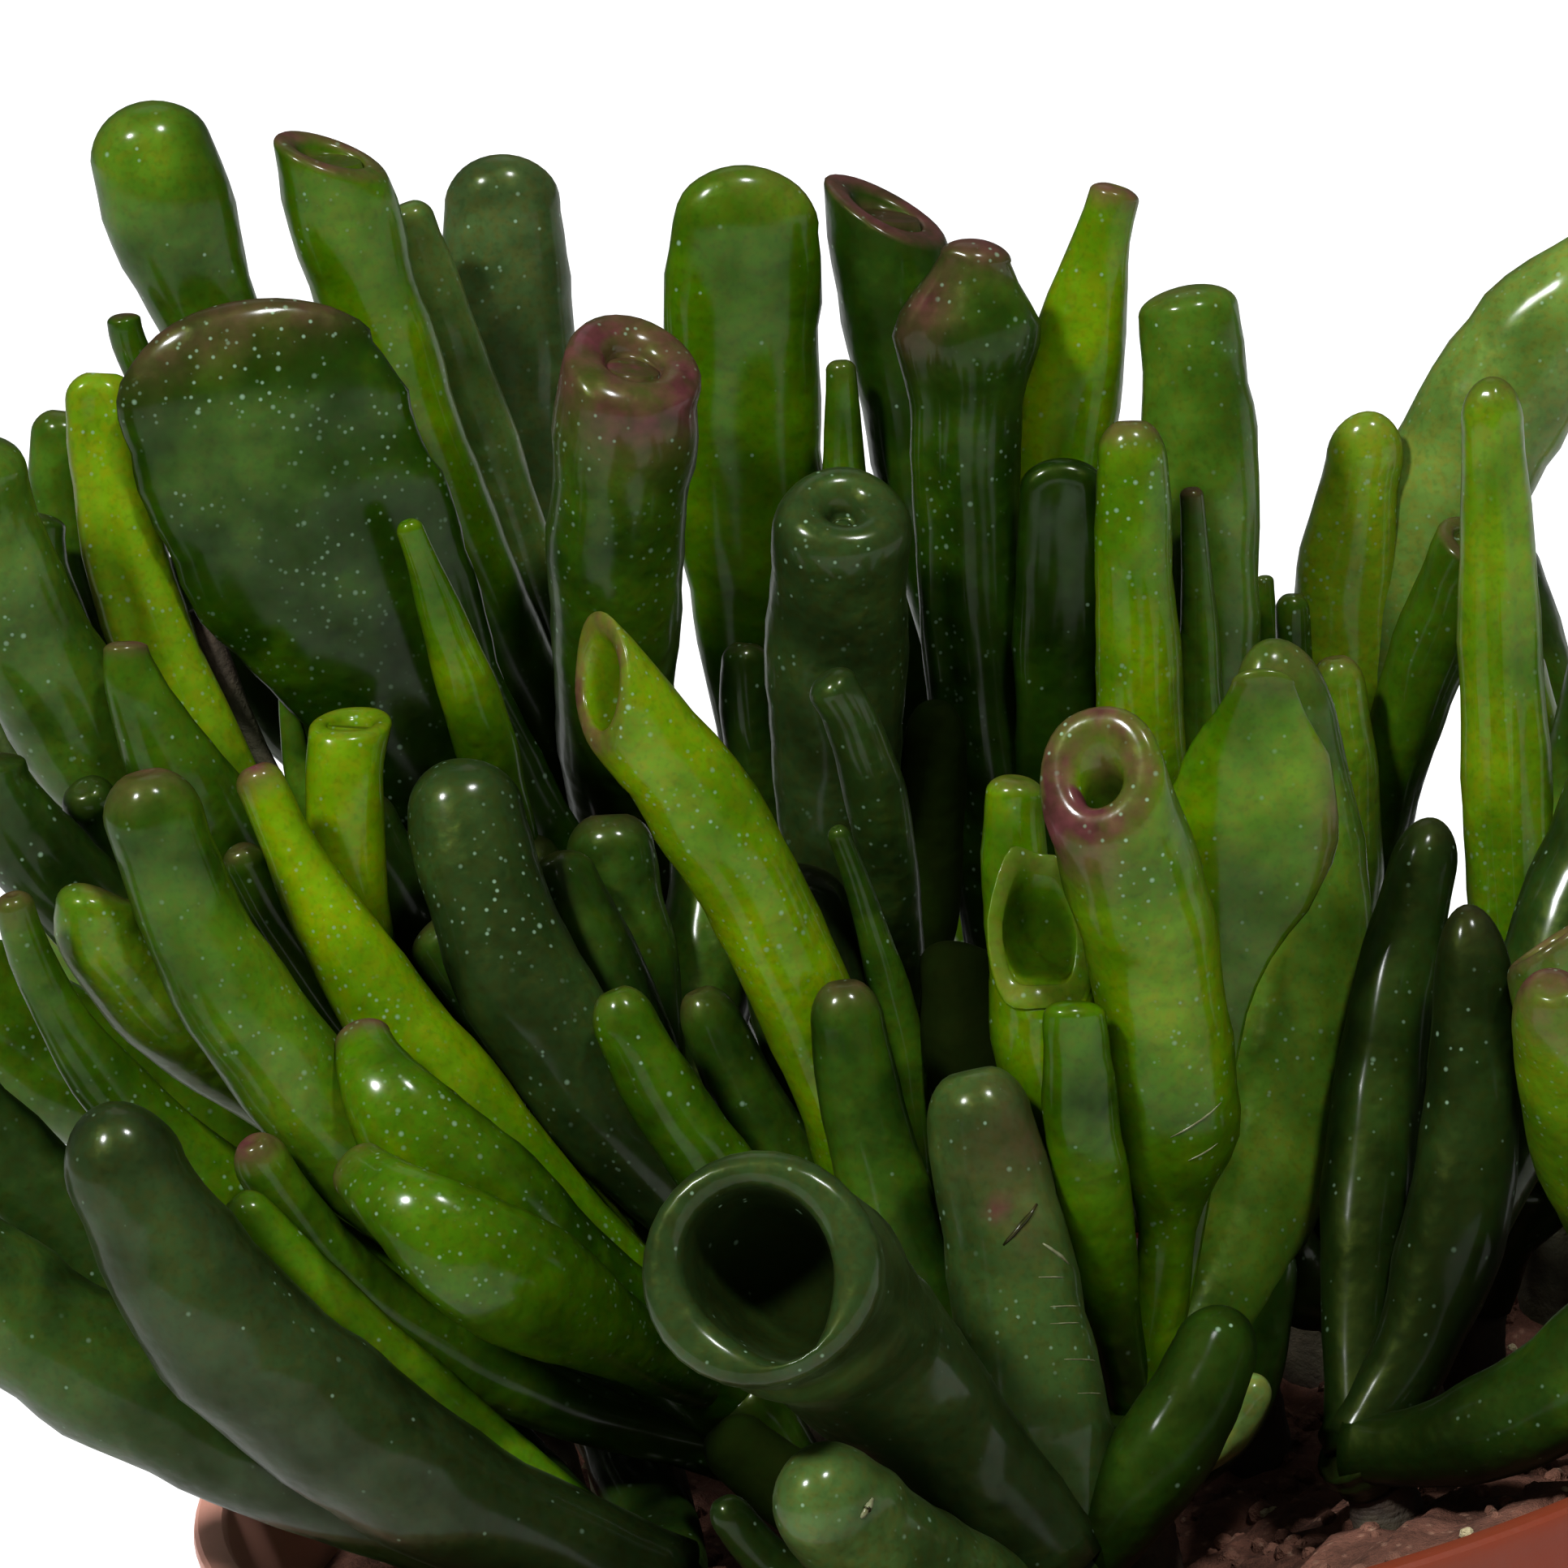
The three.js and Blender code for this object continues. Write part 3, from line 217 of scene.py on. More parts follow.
        (0.9, [88.4, 50.4, 9], [84.4, 69, 15], 5.6, 5, 0.7, "finger", (0.14, 0.4, 0.1, 0.3)),
        (1, [90.6, 55.7, 19], [89.8, 75, 22], 6.3, 5.8, 0.65, "finger", (0.04, 0.6, 0.1, 0.2)),
        (0.95, [102, 46, 6], [96.5, 66, 9], 7.8, 7, 0.6, "stout", (0.25, 0.4, 0.1, 0.3)),
        (1, [104.6, 74.6, 31], [94.6, 85.6, 29.5], 7.2, 6.4, 0.6, "stout", (0.22, 0.3, 0, 0.2)),
    ]),
    ("left_front", [-22, -25], [41, 97.8, 26], [
        (0.9, [6.6, 67.9, 27], [17.4, 85, 28], 9.6, 8.6, 0.75, "finger", (0.14, 0.95, 0, 0.1)),
        (0.7, [-7, 73.5, 20], [10, 86.4, 21], 8.6, 7.4, 0.6, "stout", (0.3, 0.6, 0.1, 0.1)),
        (0.8, [-5, 65, 13], [11, 81, 15], 7.4, 6, 0.6, "tube", (0.3, 0.5, 0.1, 0.1)),
        (1, [14.4, 73.6, 21], [25.2, 84.8, 23], 3.8, 3.6, 0.9, "tube", (0.65, 0.05, 0.1, 0.1)),
        (0.85, [29, 86.5, 8], [36, 94, 14], 5.2, 4.6, 0.7, "tube", (0.25, 0.4, 0.1, 0.2)),
        (0.8, [36.5, 86, 5], [39.5, 94, 14], 5.2, 4.6, 0.7, "tube", (0.25, 0.4, 0.1, 0.2)),
    ]),
    ("left_middle", [-14, -13], [45, 86, 14], [
        (0.85, [8.3, 47.5, 13.4], [21, 69.8, 13.2], 7.2, 6.2, 0.6, "tube", (0.55, 0.1, 0.6, 0.7)),
        (0.95, [15.3, 47.2, 7], [28, 66, 9], 6.4, 5.6, 0.8, "point", (0.85, 0, 1, 1)),
        (0.9, [14.7, 51.7, 6], [26, 68, 6], 3.4, 3, 0.8, "tube", (0.5, 0.1, 0.5, 0.2)),
        (0.9, [21.9, 63.6, 15], [31, 75.6, 15], 7.8, 5.2, 0.7, "point", (0.52, 0, 1, 0.9)),
        (1, [22.2, 71.4, 21], [31.8, 79.4, 21.4], 7.8, 5.8, 0.4, "point", (0.62, 0, 1, 1)),
        (0.7, [15.7, 69.8, 18], [28, 81.6, 18], 4.4, 4, 0.8, "tube", (0.55, 0.1, 0.9, 0.2)),
        (1, [32.8, 69.5, 10], [38.6, 77.2, 11], 4.6, 4, 0.8, "tube", (0.65, 0, 0.5, 0.2)),
        (0.6, [0.7, 55, 17], [16, 74, 16.4], 5.4, 4.6, 0.7, "point", (0.55, 0.05, 0.7, 0.9)),
    ]),
    ("front", [0, -34], [65, 97, 34], [
        (1, [46.6, 78.4, 49], [53, 83.6, 37.5], 13, 13.4, 0.6, "cup", (0.38, 0.85, 0, 0.1),
         [-0.12, 0.12, 0.97]),
        (0.9, [60.1, 65.4, 25], [63.4, 84, 30], 8.6, 7.2, 0.8, "blunt", (0.46, 0.8, 0, 0.3)),
        (0.85, [53.6, 79.8, 29], [58.2, 86, 31], 2.8, 2.6, 0.8, "tube", (0.4, 0.1, 0, 0)),
        (0.75, [43.5, 86, 14], [53, 94, 22], 5.2, 4.6, 0.7, "tube", (0, 0.2, 0, 0)),
        (0.8, [49.4, 89.3, 45], [56, 96.2, 41], 7.6, 6.6, 0.6, "stout", (0.55, 0.85, 0, 0.4)),
        (0.6, [44.3, 92.2, 36], [52.5, 99, 36], 3.2, 3, 0.8, "tube", (0.2, 0.5, 0, 0.1)),
        (0.7, [51.8, 60.2, 17], [56.4, 79.4, 22], 5.6, 5, 0.8, "tube", (0.35, 0.2, 0.4, 0.1)),
        (0.85, [75.8, 80.6, 29], [71.8, 89.2, 33], 7.2, 5.2, 0.7, "tube", (0.26, 0.2, 0, 0.05)),
    ]),
    ("inner_left", [-14, -2], [41, 72.5, 3], [
        (0.9, [21.6, 48.5, -5], [29, 61, -3], 5.4, 4.6, 0.7, "tube", SHADY),
        (1, [37.5, 50, -4], [38.4, 60, -3], 6.4, 5.4, 0.7, "tube", SHADY),
        (0.85, [27, 56.5, 2], [33, 64, 2], 5.6, 4.8, 0.7, "stout", SHADY),
        (0.95, [43.6, 51, -8], [42, 61, -5], 6, 5.2, 0.7, "tube", SHADY),
        (0.8, [33.4, 53, 2], [37.6, 63.5, 4], 4.8, 4.4, 0.7, "stout", SHADY),
        (0.9, [19.6, 52.5, -9], [27, 62, -6], 5, 4.4, 0.7, "tube", SHADY),
        (0.6, [33.2, 69.6, 0], [37.6, 74.6, 1], 5.4, 4.4, 0.8, "tube", SHADY),
    ]),
    ("inner_right", [23, -7], [81, 78, 4], [
        (1, [80.6, 58, -4], [81.2, 68, -1], 6, 5.2, 0.7, "tube", SHADY_GREY),
        (0.9, [85.4, 60.5, -3], [83.6, 70, 0], 5.4, 4.8, 0.7, "tube", SHADY_GREY),
        (0.85, [76.6, 63, -6], [78.4, 72, -1], 5.2, 4.6, 0.7, "stout", SHADY_GREY),
        (0.75, [88.2, 69, 2], [85, 76, 3], 5.2, 4.6, 0.7, "stout", SHADY_GREY),
        (0.8, [79.4, 74.5, 10], [80, 79, 8], 4.8, 4.4, 0.7, "tube", SHADY_GREY),
    ]),
    ("centre", [-4, -11], [54.5, 81, 12], [
        (0.9, [36.9, 41.6, 13], [48.6, 59.5, 13], 6.6, 6.2, 0.75, "hood", (0.84, 0, 0.9, 1),
         [-0.85, 0.05, 0.5]),
        (1, [37.5, 60.8, 13], [44.2, 72.4, 13], 4.9, 4.4, 0.8, "tube", (0.42, 0.05, 0.2, 0.4)),
        (0.95, [42.8, 60.8, 8], [48.6, 72, 9], 4.6, 4.2, 0.8, "tube", (0.4, 0.25, 0.4, 0.3)),
        (0.7, [28.5, 46.8, 2], [36, 66.5, 5], 7.8, 6.4, 0.6, "stout", (0.2, 0.7, 0, 0.8)),
        (0.85, [49.5, 53.2, 2], [53.4, 66.5, 5], 7.4, 5.2, 0.6, "stout", (0.15, 0.7, 0.1, 0.1)),
        (0.8, [51.4, 50.8, 10], [56, 67, 10], 3.2, 3, 0.8, "point", (0.4, 0.2, 0.1, 0.2)),
    ]),
]

# Shoots behind and beside the others: name, foot, crown [x, y, height over the rim], the first leaf's
# heading in degrees from +X, and how many leaves.
SIDE_SHOOTS = [
    ("side_right", [39, -4], [45, -5, 6], 0, 5),
    ("side_front_right", [34, -21], [38, -24, 5], -35, 4),
    ("side_left", [-31, 17], [-37, 21, 14], 150, 5),
    ("side_back_left", [-13, 35], [-16, 40, 7], 115, 6),
    ("side_back", [10, 34], [13, 39, 4], 80, 6),
    ("side_back_right", [34, 21], [44, 24, 14], 8, 4),
]

# Bare twigs: name, foot, height of the stout part over the soil, tip, bend and thickness.
TWIGS = [("dry_twig", [-27, 8], 5, [12.4, 37.4, -5], [25.2, 66.5, -7], 2.0)]

# slim: how far along a leaf its neck stays slim. swell: where it is widest. nose: its width at the end
# against the full width. cap: how far a closed end bulges. bowl: how deep an open end is, in widths. lip:
# how thick its round rim is. steep: how far it may slant, and pinch: how far its furthest point draws in.
ENDS = {
    "tube": dict(swell=0.5, nose=0.8, cap=1.5, dimple=0.05),
    "finger": dict(swell=0.52, nose=0.7, cap=2.0, dimple=0.0),
    "blunt": dict(swell=0.42, nose=0.72, cap=1.0, dimple=0.1),
    "club": dict(slim=0.55, swell=0.84, nose=0.88, cap=1.4, dimple=0.0),
    "stout": dict(swell=0.6, nose=0.88, cap=1.3, dimple=0.0),
    "point": dict(swell=0.45, nose=0.44, cap=1.2, dimple=0.1),
    "spoon": dict(swell=0.75, nose=0.86, cap=1.0, flat=True, dimple=0.0),
    "fan": dict(swell=0.64, nose=0.8, cap=1.15, flat=True, dimple=0.0),
    "blade": dict(slim=0.4, swell=0.68, nose=0.32, cap=1.2, flat=True, dimple=0.0),
    "horn": dict(swell=0.62, nose=0.46, cap=0.8, dimple=0.2),
    "spear": dict(slim=0.68, swell=0.82, nose=0.45, cap=1.1, dimple=0.0),
    "dish": dict(swell=0.85, nose=1.0, bowl=0.12, lip=0.22, steep=1.1, pinch=0.0),
    "cup": dict(swell=0.96, nose=1.0, bowl=0.7, lip=0.15, steep=1.1, pinch=0.0),
    "ring": dict(slim=0.28, swell=0.44, nose=1.0, bowl=0.5, lip=0.34, steep=1.1, pinch=0.0),
    "hood": dict(swell=0.8, nose=1.0, bowl=0.5, lip=0.15, steep=1.6, pinch=0.35),
}

# Leaves of these shoots come in pairs, each pair turned against the last.
PAIR_TURN = 90
GOLDEN_JITTER = 0.618
TWIG_NECK = 1.3
SIDE = dict(wander=30, step=0.05, length=(26, 7), reach=(0.42, 0.3), bend=(0.55, 0.28), rise=0.75,
            wide=(5.2, 2.4), depth=0.85, neck=0.6, lean=0.5, ends=("dish", "tube", "club", "cup"))
# Their finish: the least, the range, and how quickly it changes from leaf to leaf.
SIDE_FINISH = ((0.35, 0.5, 3.7), (0, 0.35, 5.3), (0.3, 0.6, 1), (0.3, 0.5, 7.9))


def smooth(x):
    t = np.clip(x, 0.0, 1.0)
    return t * t * (3 - 2 * t)


def width_at(leaf, t):
    end = leaf["end"]
    slim, swell, nose = end.get("slim", 0.0), end["swell"], end["nose"]
    rising = leaf["neck"] + (1 - leaf["neck"]) * smooth((t - slim) / (swell - slim))
    falling = 1 + (nose - 1) * smooth((t - swell) / (1 - swell))
    return np.where(t < swell, rising, falling)


def shares(t):
    return np.stack([(1 - t) * (1 - 2 * t), 4 * t * (1 - t), t * (2 * t - 1)], -1)


def slopes(t):
    return np.stack([4 * t - 3, 4 - 8 * t, 4 * t - 1], -1)


def length_of(leaf):
    return np.linalg.norm(leaf["base"] - leaf["bend"]) + np.linalg.norm(leaf["bend"] - leaf["tip"])


def stations(leaf, places):
    """Centre, heading, across and front of the leaf at each of the places, in order along it."""
    line = np.array([leaf["base"], leaf["bend"], leaf["tip"]])
    centres = shares(places) @ line
    alongs = slopes(places) @ line
    alongs = alongs / np.linalg.norm(alongs, axis=1, keepdims=True)
    across = unit(np.cross(leaf["face"], alongs[0]))
    acrosses = []
    for along in alongs:
        across = unit(across - along * across.dot(along))
        acrosses.append(across)
    acrosses = np.array(acrosses)
    return centres, alongs, acrosses, np.cross(alongs, acrosses)


def heap_at(x, y):
    away = (x - HEAP["x"]) ** 2 + (y - HEAP["y"]) ** 2
    lumps = 0.5 * np.sin(x * 0.42 + 1.3) * np.sin(y * 0.37) + 0.35 * np.sin(x * 0.9 - y * 0.7)
    return HEAP["height"] * np.exp(-away / HEAP["spread"] ** 2) + lumps


# Where the pot's rim stands in a leaf's way, by the distance from the axis, and where there is nothing below.
RIM_ZONE = dict(start=44, end=60, ramp=4, stand=0.3, open_from=56, drop=40)


def ground_at(x, y):
    reach = np.hypot(x, y)
    over_rim = smooth((reach - RIM_ZONE["start"]) / RIM_ZONE["ramp"])
    over_rim = over_rim * smooth((RIM_ZONE["end"] - reach) / RIM_ZONE["ramp"])
    soil = SOIL_LEVEL + heap_at(x, y)
    open_air = np.where(reach > RIM_ZONE["open_from"], RIM_ZONE["drop"], 0)
    return RIM + soil + (RIM_ZONE["stand"] - soil) * over_rim - open_air


def stem_at(shoot, t):
    foot, crown = shoot["foot"], shoot["crown"]
    knee = np.array([foot[0], foot[1], (foot[2] + crown[2]) / 2])
    return foot * (1 - t) ** 2 + knee * (2 * t * (1 - t)) + crown * t * t


def soil_at(x, y):
    return RIM + SOIL_LEVEL + heap_at(x, y)


def foot_at(foot):
    x, y = float(foot[0]), float(foot[1])
    return np.array([x, y, soil_at(x, y)])


shoots = []
leaves = []


def add_shoot(name, foot, crown, bare=False):
    shoot = dict(name=name, index=len(shoots), foot=foot, crown=crown, bare=bare)
    shoots.append(shoot)
    return shoot


def add_leaf(shoot, at, tip, bend, wide, thick, neck, kind, face, opening, finish):
    leaves.append(dict(shoot=shoot["index"], bare=shoot["bare"], base=stem_at(shoot, at), tip=tip, bend=bend,
                       wide=wide, thick=thick, neck=neck, end=ENDS[kind], kind=kind, face=face,
                       opening=opening, finish=finish))


for name, foot, crown, rows in SHOOTS:
    shoot = add_shoot(name, foot_at(foot), seen(crown))
    for at, tip, bend, wide, thick, neck, kind, finish, *opening in rows:
        way = facing(opening[0]) if opening else None
        add_leaf(shoot, at, seen(tip), seen(bend), wide, thick, neck, kind, TO_VIEWER, way, finish)

for name, foot, (cx, cy, cz), heading, count in SIDE_SHOOTS:
    shoot = add_shoot(name, foot_at(foot), np.array([cx, cy, RIM + cz], float))
    for k in range(count):
        spread = ((k + shoot["index"]) * GOLDEN_JITTER) % 1
        turn = math.radians(heading + 180 * (k % 2) + PAIR_TURN * (k // 2) + SIDE["wander"] * (spread - 0.5))
        way = np.array([math.cos(turn), math.sin(turn), 0.0])
        at = 1 - SIDE["step"] * (count - 1 - k)
        base = stem_at(shoot, at)
        outward = (base[0] * way[0] + base[1] * way[1]) / math.hypot(base[0], base[1])
        length = SIDE["length"][0] + SIDE["length"][1] * spread
        reach = length * (SIDE["reach"][0] + SIDE["reach"][1] * outward)
        bend = base + way * reach * SIDE["bend"][0] + UP * length * SIDE["bend"][1]
        tip = base + way * reach + UP * length * SIDE["rise"]
        wide = SIDE["wide"][0] + SIDE["wide"][1] * spread
        opening = unit(way * SIDE["lean"] + UP)
        kind = SIDE["ends"][(k + shoot["index"]) % len(SIDE["ends"])]
        finish = tuple(least + more * ((spread * pace) % 1) for least, more, pace in SIDE_FINISH)
        add_leaf(shoot, at, tip, bend, wide, wide * SIDE["depth"], SIDE["neck"], kind, UP, opening, finish)

for name, foot, rise, tip, bend, thick in TWIGS:
    foot = foot_at(foot)
    shoot = add_shoot(name, foot, foot + UP * rise, bare=True)
    add_leaf(shoot, 1, seen(tip), seen(bend), thick, thick, TWIG_NECK, "tube", TO_VIEWER, None, (0, 0, 0, 0))

# ---------------------------------------------------------------- bending leaves clear of each other

# Every leaf and stem is taken as rows of beads. A flat leaf has beads side by side: two where it is wider
# than it is thick by FLAT_FROM on each side, and four from BROAD_FROM.
BEADS = 10
TWIG_BEADS = 32
STEM_BEADS = [0.1, 0.25, 0.4, 0.55, 0.7, 0.85, 1]
FLAT_FROM = 0.8
BROAD_FROM = 2.5
# The gap that beads keep, in millimetres. Those of one shoot may touch up to FREE_FROM along their leaves.
CLEAR = 0.55
FREE_FROM = 0.45
# How often beads are pushed, by what share of their overlap, and how much less sideways than in depth. EASE
# keeps a push near a leaf's foot from moving its tip far.
PASSES = 160
PUSH = 0.6
STIFF = 0.25
NEAR_BIAS = 0.6
EASE = 0.02
# Close pairs are looked for again every REFRESH passes, among beads with gaps of up to SEARCH millimetres.
REFRESH = 10
SEARCH = 9.0
WIDEST_PAIR = 14


def bead_rows(leaf):
    """For each bead of a leaf: place along, distance to the side, radius."""
    count = TWIG_BEADS if leaf["bare"] else BEADS
    places = (np.arange(count) + 1) / count
    rows = []
    for k, t in enumerate(places):
        scale = leaf["end"]["nose"] if t == 1 else float(width_at(leaf, t))
        half, radius = leaf["wide"] * scale / 2, leaf["thick"] * scale / 2
        spare = half - radius
        if spare < FLAT_FROM:
            rows.append((k, t, 0.0, (half + radius) / 2))
        else:
            for row in ((-1, 1) if spare < BROAD_FROM else (-1, -0.33, 0.33, 1)):
                rows.append((k, t, row * spare, radius))
    return places, rows


def bend_clear():
    """Pushes leaves that cross apart, mostly towards and away from the viewer, and up off the ground."""
    plans = [bead_rows(leaf) for leaf in leaves]
    owner = np.concatenate([np.full(len(rows), k) for k, (_, rows) in enumerate(plans)])
    index = [np.array([row[0] for row in rows]) for _, rows in plans]
    t = np.concatenate([[row[1] for row in rows] for _, rows in plans])
    side = [np.array([row[2] for row in rows]) for _, rows in plans]
    size = np.concatenate([[row[3] for row in rows] for _, rows in plans])
    shoot_of = np.array([leaves[k]["shoot"] for k in owner])
    stem_places = np.array([stem_at(shoot, s) for shoot in shoots for s in STEM_BEADS])
    count = len(owner)
    owner = np.concatenate([owner, np.full(len(stem_places), -1)])
    t = np.concatenate([t, np.tile(STEM_BEADS, len(shoots))])
    size = np.concatenate([size, np.full(len(stem_places), SHOOT_RADIUS)])
    shoot_of = np.concatenate([shoot_of, np.repeat(np.arange(len(shoots)), len(STEM_BEADS))])
    one, two = np.triu_indices(len(owner), 1)
    free = (owner[one] >= 0) & (owner[two] >= 0) & (owner[one] != owner[two])
    free &= np.minimum(t[one], t[two]) > FREE_FROM
    keep = ((shoot_of[one] != shoot_of[two]) | free) & ((owner[one] >= 0) | (owner[two] >= 0))
    one, two = one[keep].astype(np.int32), two[keep].astype(np.int32)
    part = shares(t)
    total = part[:, 1] ** 2 + part[:, 2] ** 2 + EASE
    bend_share = part[:, 1] / total
    tip_share = np.maximum(0, part[:, 2]) / total
    for step in range(PASSES):
        spots = []
        for leaf, (places, _), rows, sides in zip(leaves, plans, index, side):
            centres, _, across, _ = stations(leaf, places)
            spots.append(centres[rows] + across[rows] * sides[:, None])
        spots = np.concatenate(spots + [stem_places])
        if step % REFRESH == 0:
            rough = spots.astype(np.float32)
            close = np.abs(rough[one, 0] - rough[two, 0]) < WIDEST_PAIR + SEARCH
            near_one, near_two = one[close], two[close]
            apart = np.linalg.norm(rough[near_one] - rough[near_two], axis=1)
            close = apart < size[near_one] + size[near_two] + CLEAR + SEARCH
            near_one, near_two = near_one[close], near_two[close]
        need = size[near_one] + size[near_two] + CLEAR
        gap = spots[near_one] - spots[near_two]
        apart = np.linalg.norm(gap, axis=1)
        hit = apart < need
        a, b, need, gap, apart = near_one[hit], near_two[hit], need[hit], gap[hit], apart[hit]
        depth = gap @ TO_VIEWER
        way = (gap - depth[:, None] * TO_VIEWER) * STIFF
        way += (depth + np.sign(depth) * NEAR_BIAS)[:, None] * TO_VIEWER
        way /= np.linalg.norm(way, axis=1, keepdims=True)
        amount = (need - apart) * PUSH
        sink = ground_at(spots[:count, 0], spots[:count, 1]) + size[:count] + CLEAR - spots[:count, 2]
        low = np.nonzero(sink > 0)[0]
        beads = np.concatenate([a, b, low])
        ways = np.concatenate([way, -way, np.tile(UP, (len(low), 1))])
        amounts = np.concatenate([amount, amount, sink[low]])
        mine = owner[beads] >= 0
        beads, ways, amounts = beads[mine], ways[mine], amounts[mine]
        bends, tips, sums = np.zeros((len(leaves), 3)), np.zeros((len(leaves), 3)), np.zeros(len(leaves))
        np.add.at(bends, owner[beads], ways * (amounts ** 2 * bend_share[beads])[:, None])
        np.add.at(tips, owner[beads], ways * (amounts ** 2 * tip_share[beads])[:, None])
        np.add.at(sums, owner[beads], amounts)
        for k in np.nonzero(sums > 0)[0]:
            leaves[k]["bend"] = leaves[k]["bend"] + bends[k] / sums[k]
            leaves[k]["tip"] = leaves[k]["tip"] + tips[k] / sums[k]


bend_clear()

# What single leaves have besides, by shoot and row. Turns go round the leaf from its left side, in degrees,
# so that 90 faces the viewer.
# end: changes to its kind of end. wider: against its width. How dull it is, from 0 to 1: how little it
# shines, and how far painted shade darkens it.
# lit_from: its foot is as bright as a place that far along, which lessens the painted shade towards
# its foot. drop: its open end has a drop-shaped hole.
# grooves run along it: turn, depth against the thickness, and how broad.
# blushes are red patches: place along and turn of the middle, spread along and round, and how red.
# marks are old wounds: kind, place along and turn at either end, and half the width in millimetres.
PLAIN = dict(end={}, wider=1.0, dull_and_shaded=0.0, lit_from=0.0, grooves=[], blushes=[], marks=[], drop=False)
EXTRAS = {
    ("left_back", 1): dict(grooves=[(125, 0.16, 24)]),
    ("left", 1): dict(grooves=[(75, 0.45, 26)], blushes=[(0.6, 20, 0.3, 16, 0.5)]),
    ("back_left", 3): dict(end=dict(lip=0.3, bowl=0.1), blushes=[(0.97, 90, 0.13, 400, 0.9)]),
    ("middle", 0): dict(end=dict(lip=0.42, bowl=0.15)),
    ("back_middle", 1): dict(grooves=[(52, 0.34, 14)], blushes=[(0.9, 40, 0.09, 34, 0.9)]),
    ("back_middle", 3): dict(grooves=[(85, 0.5, 44)]),
    ("right", 0): dict(grooves=[(118, 0.22, 15), (68, 0.24, 15)]),
    ("bright", 0): dict(
        lit_from=0.42,
        blushes=[(0.99, 20, 0.07, 75, 1.0), (0.97, 250, 0.05, 60, 0.7)],
        marks=[("scar", 0.46, 92, 0.5, 140, 0.07), ("scar", 0.42, 108, 0.44, 136, 0.06)],
    ),
    ("bright", 4): dict(lit_from=0.42, grooves=[(110, 0.3, 30)], blushes=[(0.7, 165, 0.14, 22, 0.6)]),
    ("bright", 5): dict(lit_from=0.42),
    ("bright", 8): dict(wider=1.2),
    ("right_front", 0): dict(dull_and_shaded=0.22),
    ("right_front", 1): dict(dull_and_shaded=0.22),
    ("right_front", 3): dict(dull_and_shaded=0.22),
    ("centre", 0): dict(end=dict(lip=0.17, bowl=0.45)),
    ("front", 0): dict(drop=True),
    ("front", 1): dict(
        blushes=[(0.79, 88, 0.022, 16, 1.0), (0.88, 120, 0.08, 60, 0.6), (0.74, 110, 0.05, 26, 0.35)],
        marks=[
            ("crack", 0.72, 86, 0.775, 126, 0.16), ("scar", 0.71, 122, 0.665, 150, 0.12),
            ("scar", 0.655, 112, 0.645, 140, 0.05), ("scar", 0.6, 116, 0.59, 152, 0.05),
            ("scar", 0.57, 112, 0.56, 146, 0.04), ("scar", 0.5, 118, 0.485, 158, 0.05),
            ("scar", 0.43, 124, 0.42, 156, 0.04),
        ],
    ),
    ("front", 4): dict(marks=[("scar", 0.9, 78, 0.95, 100, 0.24), ("crack", 0.915, 84, 0.935, 92, 0.26)]),
    ("front", 7): dict(wider=0.82, dull_and_shaded=0.4),
}


def give_extras():
    row_of = {}
    for leaf in leaves:
        name = shoots[leaf["shoot"]]["name"]
        row = row_of.get(name, 0)
        row_of[name] = row + 1
        extras = dict(PLAIN, **EXTRAS.get((name, row), {}))
        end = dict(leaf["end"], **extras.pop("end"))
        leaf.update(extras, end=end, wide=leaf["wide"] * extras["wider"])


give_extras()

# ---------------------------------------------------------------- leaf skins

LEAF_SIDES = 32
BODY_RINGS = 28
CAP_RINGS = 9
RIM_RINGS = 9
BOWL_RINGS = 7
# How an open end comes to lean: from where along the leaf, how quickly, and how its slope is held back.
LEAN_FROM = 0.7
LEAN_CURVE = 1.2
LIMIT_SHARPNESS = 6
LEAST_FACING = 0.25
# An open end: how its hollow narrows, and how far the lean is lost in it. A closed end: how deep and how
# broad its dent is.
HOLLOW_CURVE = 0.8
HOLLOW_LEAN = 0.6
DENT_DEPTH = 2.2
DENT_FROM = 0.5
DENT_RAMP = 0.45
# The lumps of a leaf's skin: height, and pace along it. They go round it once, twice and three times.
LUMPS = ((0.03, 0.5), (0.02, 0.9), (0.01, 1.7))
LUMP_PACE = (0.7, 1.3)
EGG_SHAPE = 0.02
LEAST_LUMPS = 0.3
# A leaf with no groove of its own gets a faint one. Grooves fade out towards the foot and the tip.
FAINT_GROOVE = dict(turn=90, deepest=0.06, breadth=24)
GROOVE_FADE = dict(foot=0.25, tip=0.12, end=1.02)
# How far the red goes down from a closed or an open end, in widths, what share of it is lost in a shallow or
# a deep hollow, and how soon.
RED_BAND = (0.484, 0.132)
RED_IN_HOLLOW = (0.45, 1.0)
RED_FADE = 3
# A hollow up to SHALLOW widths deep gets the lesser painted shade, and a deeper one the greater.
SHALLOW = 0.2
HOLLOW_SHADE = (0.25, 1.6)
MARK_STEPS = 9
MARK_SIDES = 8


def slant_shares(spokes, along, leaf):
    """How far each point of an open end moves along the leaf, from -1 to 1, to face its opening's way."""
    opening, steep = leaf["opening"], leaf["end"]["steep"]
    facing_along = max(LEAST_FACING, float(opening @ along))
    wish = -(spokes @ opening) / facing_along / (steep * np.linalg.norm(spokes, axis=1) + 1e-9)
    return wish / (1 + np.abs(wish) ** LIMIT_SHARPNESS) ** (1 / LIMIT_SHARPNESS)


